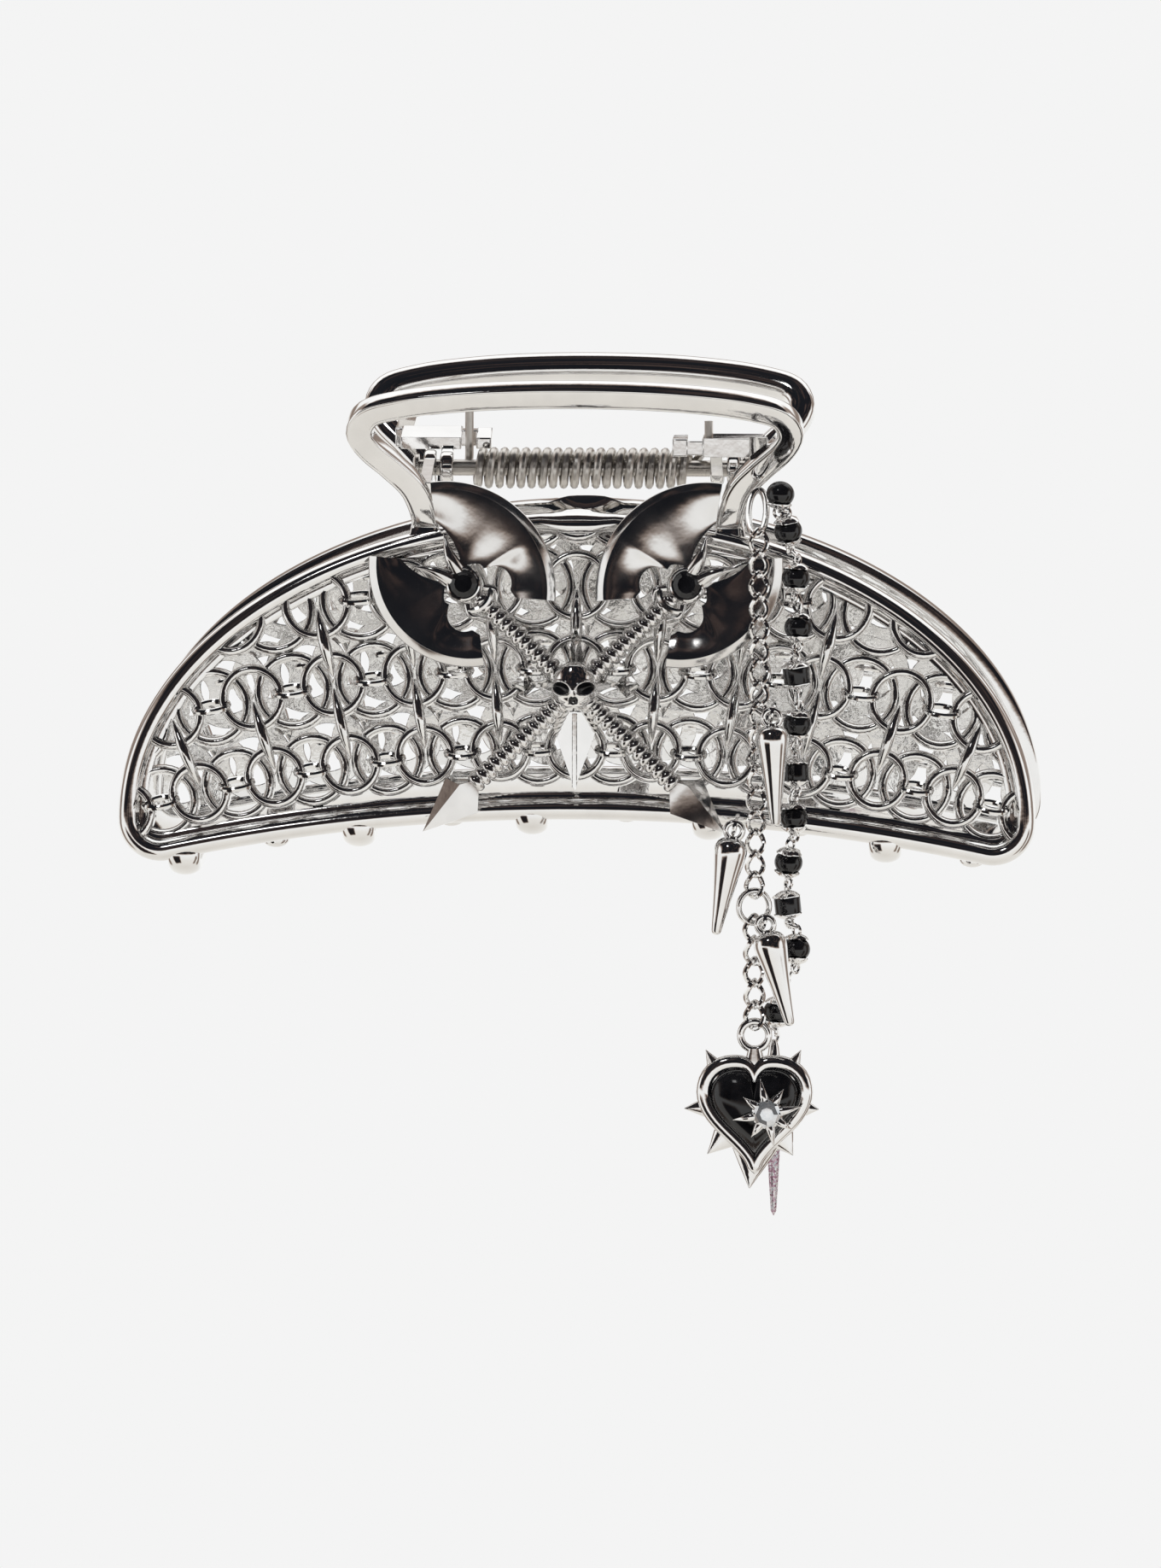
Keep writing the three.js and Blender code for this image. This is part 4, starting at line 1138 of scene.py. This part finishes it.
def build_heart():
    """Heart charm: thorned rim on a ring, black stone, claws and clear stone."""
    middle = middle_of("heart_stone")
    back = -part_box("heart_bezel")[1][1] / MM
    ring_at = joint_place("heart_swing") - Vector((0, 0, 1.1))
    setting = heart_setting(middle, back)
    wire_ring(setting, ring_at, (1, 0, 0), (0, 0, 1), 1.65, 1.65, 0.45, 32, 10)
    neck = [(middle.x, -back - 1.0, middle.z + 3.4), (middle.x, -back - 1.1, middle.z + 4.6)]
    neck.append(ring_at - Vector((0, 0, 1.5)))
    taper = [(2.2 - 0.1 * i, 1) for i in range(13)]
    sweep(setting, smooth_line(neck, 12), round_section(0.8, 0.7, 14), scale=taper)
    build("heart_rim", setting, CHROME, "heart", ["heart_bezel"])
    build("heart_dome", heart_dome(middle, back), BLACK, "heart", ["heart_stone"])
    star_at = middle_of("star_setting")
    star_at.y = -back - 3.75
    build("star_claws", star_setting(star_at), CHROME, "heart", ["star_setting"])
    build("clear_gem", clear_gem(star_at), [STONE, CHROME], "heart", ["rhinestone"], sharp=12)


def build_ornaments():
    """Two crossed axes with their stones, the star behind them and the skull on it."""
    for name, side in (("left", -1), ("right", 1)):
        build(f"axe_head_{name}", axe(side), BLADE, "front_jaw", [f"axe_{name}"], sharp=40)
        gem = axe_gem(side)
        nodes = [f"axe_gem_{name}"]
        build(f"axe_stone_{name}", gem, [BLACK, CHROME], "front_jaw", nodes, sharp=15)
    build("star_dagger", star(), CHROME, "front_jaw", ["star_plate"], sharp=20)
    build("skull_face", skull(), [CHROME, ENAMEL], "front_jaw", ["skull"], sharp=60)


# ---- Studio ----
CAMERA_ELEVATION = math.radians(6)
CAMERA_AZIMUTH = math.radians(3)
CAMERA_DISTANCE = 2.0
CAMERA_LENS = 389.8
FLOOR_DROP = 0.06
FLOOR_HALF_WIDTH = 4.0
LOOK_AT = HINGE + Vector((-0.2, 0, -37.35)) * MM

WALL_COLOURS = [
    (0.0, (0.74, 0.71, 0.66)),
    (0.3, (0.84, 0.82, 0.78)),
    (0.45, (0.93, 0.93, 0.92)),
    (1.0, (1.2, 1.2, 1.2)),
]
CLOTH_COLOURS = [
    (0.0, (1, 1, 1)),
    (0.4, (0.36, 0.29, 0.25)),
    (0.75, (0.05, 0.035, 0.032)),
    (1.0, (0.010, 0.011, 0.014)),
]
SOFTBOX_COLOUR = (3.5, 3.5, 3.5, 1)
BACKDROP_COLOUR = (0.905, 0.905, 0.905, 1)


def add_camera():
    """Long lens, a little above and to the right of the clip."""
    level = Vector((math.sin(CAMERA_AZIMUTH), -math.cos(CAMERA_AZIMUTH), 0))
    away = level * math.cos(CAMERA_ELEVATION) + Vector((0, 0, math.sin(CAMERA_ELEVATION)))
    data = bpy.data.cameras.new("camera")
    data.sensor_width = 36
    data.lens = CAMERA_LENS
    data.clip_end = 20
    camera = new_object("camera", data)
    camera.location = LOOK_AT + away * CAMERA_DISTANCE
    camera.rotation_euler = (-away).to_track_quat("-Z", "Y").to_euler()
    bpy.context.scene.camera = camera


def value_node(tree, operation, first, second=None, clamp=False):
    node = tree.nodes.new("ShaderNodeMath")
    node.operation = operation
    node.use_clamp = clamp
    inputs = {0: first} if second is None else {0: first, 1: second}
    return fill(tree, node, inputs).outputs[0]


def times(tree, first, second):
    return value_node(tree, "MULTIPLY", first, second)


def band(tree, value, low, high, soft):
    """1 between low and high, falling to 0 over `soft` at each end."""
    rise = value_node(tree, "DIVIDE", value_node(tree, "SUBTRACT", value, low), soft, True)
    fall = value_node(tree, "DIVIDE", value_node(tree, "SUBTRACT", high, value), soft, True)
    return times(tree, rise, fall)


def mixed(tree, blend, factor, first, second):
    """Mix of two colours."""
    node = tree.nodes.new("ShaderNodeMix")
    node.data_type = "RGBA"
    node.blend_type = blend
    return fill(tree, node, {"Factor": factor, "A": first, "B": second}).outputs["Result"]


def show(tree, kind, factor, first, second):
    """Ends a tree in a mix of two shaders."""
    mix = fill(tree, tree.nodes.new("ShaderNodeMixShader"), {0: factor, 1: first, 2: second})
    fill(tree, tree.nodes.new(kind), {"Surface": mix.outputs[0]})


def directions(tree):
    """Sideways part of a direction, its height, and its turn around and over the clip, in degrees."""
    place = tree.nodes.new("ShaderNodeTexCoord").outputs["Generated"]
    x, y, z = fill(tree, tree.nodes.new("ShaderNodeSeparateXYZ"), {"Vector": place}).outputs
    degrees = 180 / math.pi
    ahead = times(tree, y, -1)
    height = times(tree, value_node(tree, "ARCSINE", z), degrees)
    around = times(tree, value_node(tree, "ARCTAN2", x, ahead), degrees)
    over = times(tree, value_node(tree, "ARCTAN2", z, ahead), degrees)
    return x, height, around, over


def studio_shade(tree, x, height, around, over):
    """How dark the studio is, 0 to 1: a folded flag overhead, two stands, grey sides and rear."""
    flag = times(tree, band(tree, over, -6, 106, 8), band(tree, x, -0.93, 0.93, 0.12))
    folds = spread(tree, noise(tree, 5.5, space="Generated"), 1.25, 0.72)
    flag = value_node(tree, "MULTIPLY", flag, folds, True)
    low = band(tree, height, -58, -8, 8)
    left = times(tree, low, band(tree, around, -60, -16, 7))
    right = times(tree, low, band(tree, around, 58, 84, 8))
    stands = value_node(tree, "ADD", times(tree, left, 0.95), times(tree, right, 0.57))
    beside = band(tree, value_node(tree, "ABSOLUTE", around), 92, 128, 8)
    sides = times(tree, band(tree, height, -50, 50, 10), beside)
    behind = times(tree, value_node(tree, "MAXIMUM", sides, band(tree, over, 146, 178, 10)), 0.5)
    return value_node(tree, "MAXIMUM", value_node(tree, "MAXIMUM", flag, stands), behind)


def add_world():
    """Pale studio with dark cloths and one softbox for the chrome to show, and a plain backdrop."""
    world = bpy.data.worlds.new("studio")
    bpy.context.scene.world = world
    world.use_nodes = True
    tree = world.node_tree
    tree.nodes.clear()
    x, height, around, over = directions(tree)
    walls = ramp(tree, value_node(tree, "ADD", value_node(tree, "DIVIDE", height, 180), 0.5), WALL_COLOURS)
    cloths = ramp(tree, studio_shade(tree, x, height, around, over), CLOTH_COLOURS)
    softbox = times(tree, band(tree, over, 44, 56, 2), band(tree, x, -0.36, -0.2, 0.03))
    lit = mixed(tree, "MIX", softbox, mixed(tree, "MULTIPLY", 1, walls, cloths), SOFTBOX_COLOUR)
    studio = fill(tree, tree.nodes.new("ShaderNodeBackground"), {"Color": lit})
    backdrop = fill(tree, tree.nodes.new("ShaderNodeBackground"), {"Color": BACKDROP_COLOUR})
    seen = tree.nodes.new("ShaderNodeLightPath").outputs["Is Camera Ray"]
    show(tree, "ShaderNodeOutputWorld", seen, studio.outputs[0], backdrop.outputs[0])


def add_light(name, direction, distance, size, power):
    """Soft light that adds no shape of its own to the reflections."""
    data = bpy.data.lights.new(name, "AREA")
    data.size = size
    data.energy = power
    light = new_object(name, data)
    light.location = HINGE + Vector(direction).normalized() * distance
    light.rotation_euler = (-Vector(direction)).to_track_quat("-Z", "Y").to_euler()
    light.visible_glossy = False


def add_floor():
    """Pale floor below the clip, one-sided so that low views see past it."""
    mesh = bpy.data.meshes.new("floor")
    low = CAD_BOUNDS[0][2] - FLOOR_DROP
    half = FLOOR_HALF_WIDTH
    corners = [(-half, -half, low), (half, -half, low), (half, half, low), (-half, half, low)]
    mesh.from_pydata(corners, [], [(0, 1, 2, 3)])
    material = bpy.data.materials.new("floor_paint")
    material.use_nodes = True
    tree = material.node_tree
    tree.nodes.clear()
    tint = ramp(tree, noise(tree, 3), [(0.3, (0.904, 0.904, 0.904)), (0.7, (0.906, 0.906, 0.906))])
    paint = fill(tree, tree.nodes.new("ShaderNodeEmission"), {"Color": tint})
    clear = tree.nodes.new("ShaderNodeBsdfTransparent")
    away = tree.nodes.new("ShaderNodeNewGeometry").outputs["Backfacing"]
    seen = tree.nodes.new("ShaderNodeLightPath").outputs["Is Camera Ray"]
    shown = times(tree, value_node(tree, "SUBTRACT", 1, away), seen)
    show(tree, "ShaderNodeOutputMaterial", shown, clear.outputs[0], paint.outputs[0])
    mesh.materials.append(material)
    new_object("floor", mesh)


add_camera()
add_world()
add_light("key", (-0.25, -1, 1.25), 1.3, 0.35, 9)
add_floor()
build_jaw("front", False)
build_jaw("back", True)
build("hinge_rod", hinge_pin(), STEEL, "back_jaw", ["hinge_pin"])
coil = build("spring_coil", torsion_spring(), STEEL, None, ["torsion_spring"])
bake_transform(coil)
build_ornaments()
build_chain()
build_beads()
build("glitter_point", glitter_point(), [GLITTER, CHROME], "glitter", ["glitter_spike"])
build_heart()

bpy.context.scene.view_settings.view_transform = "Standard"
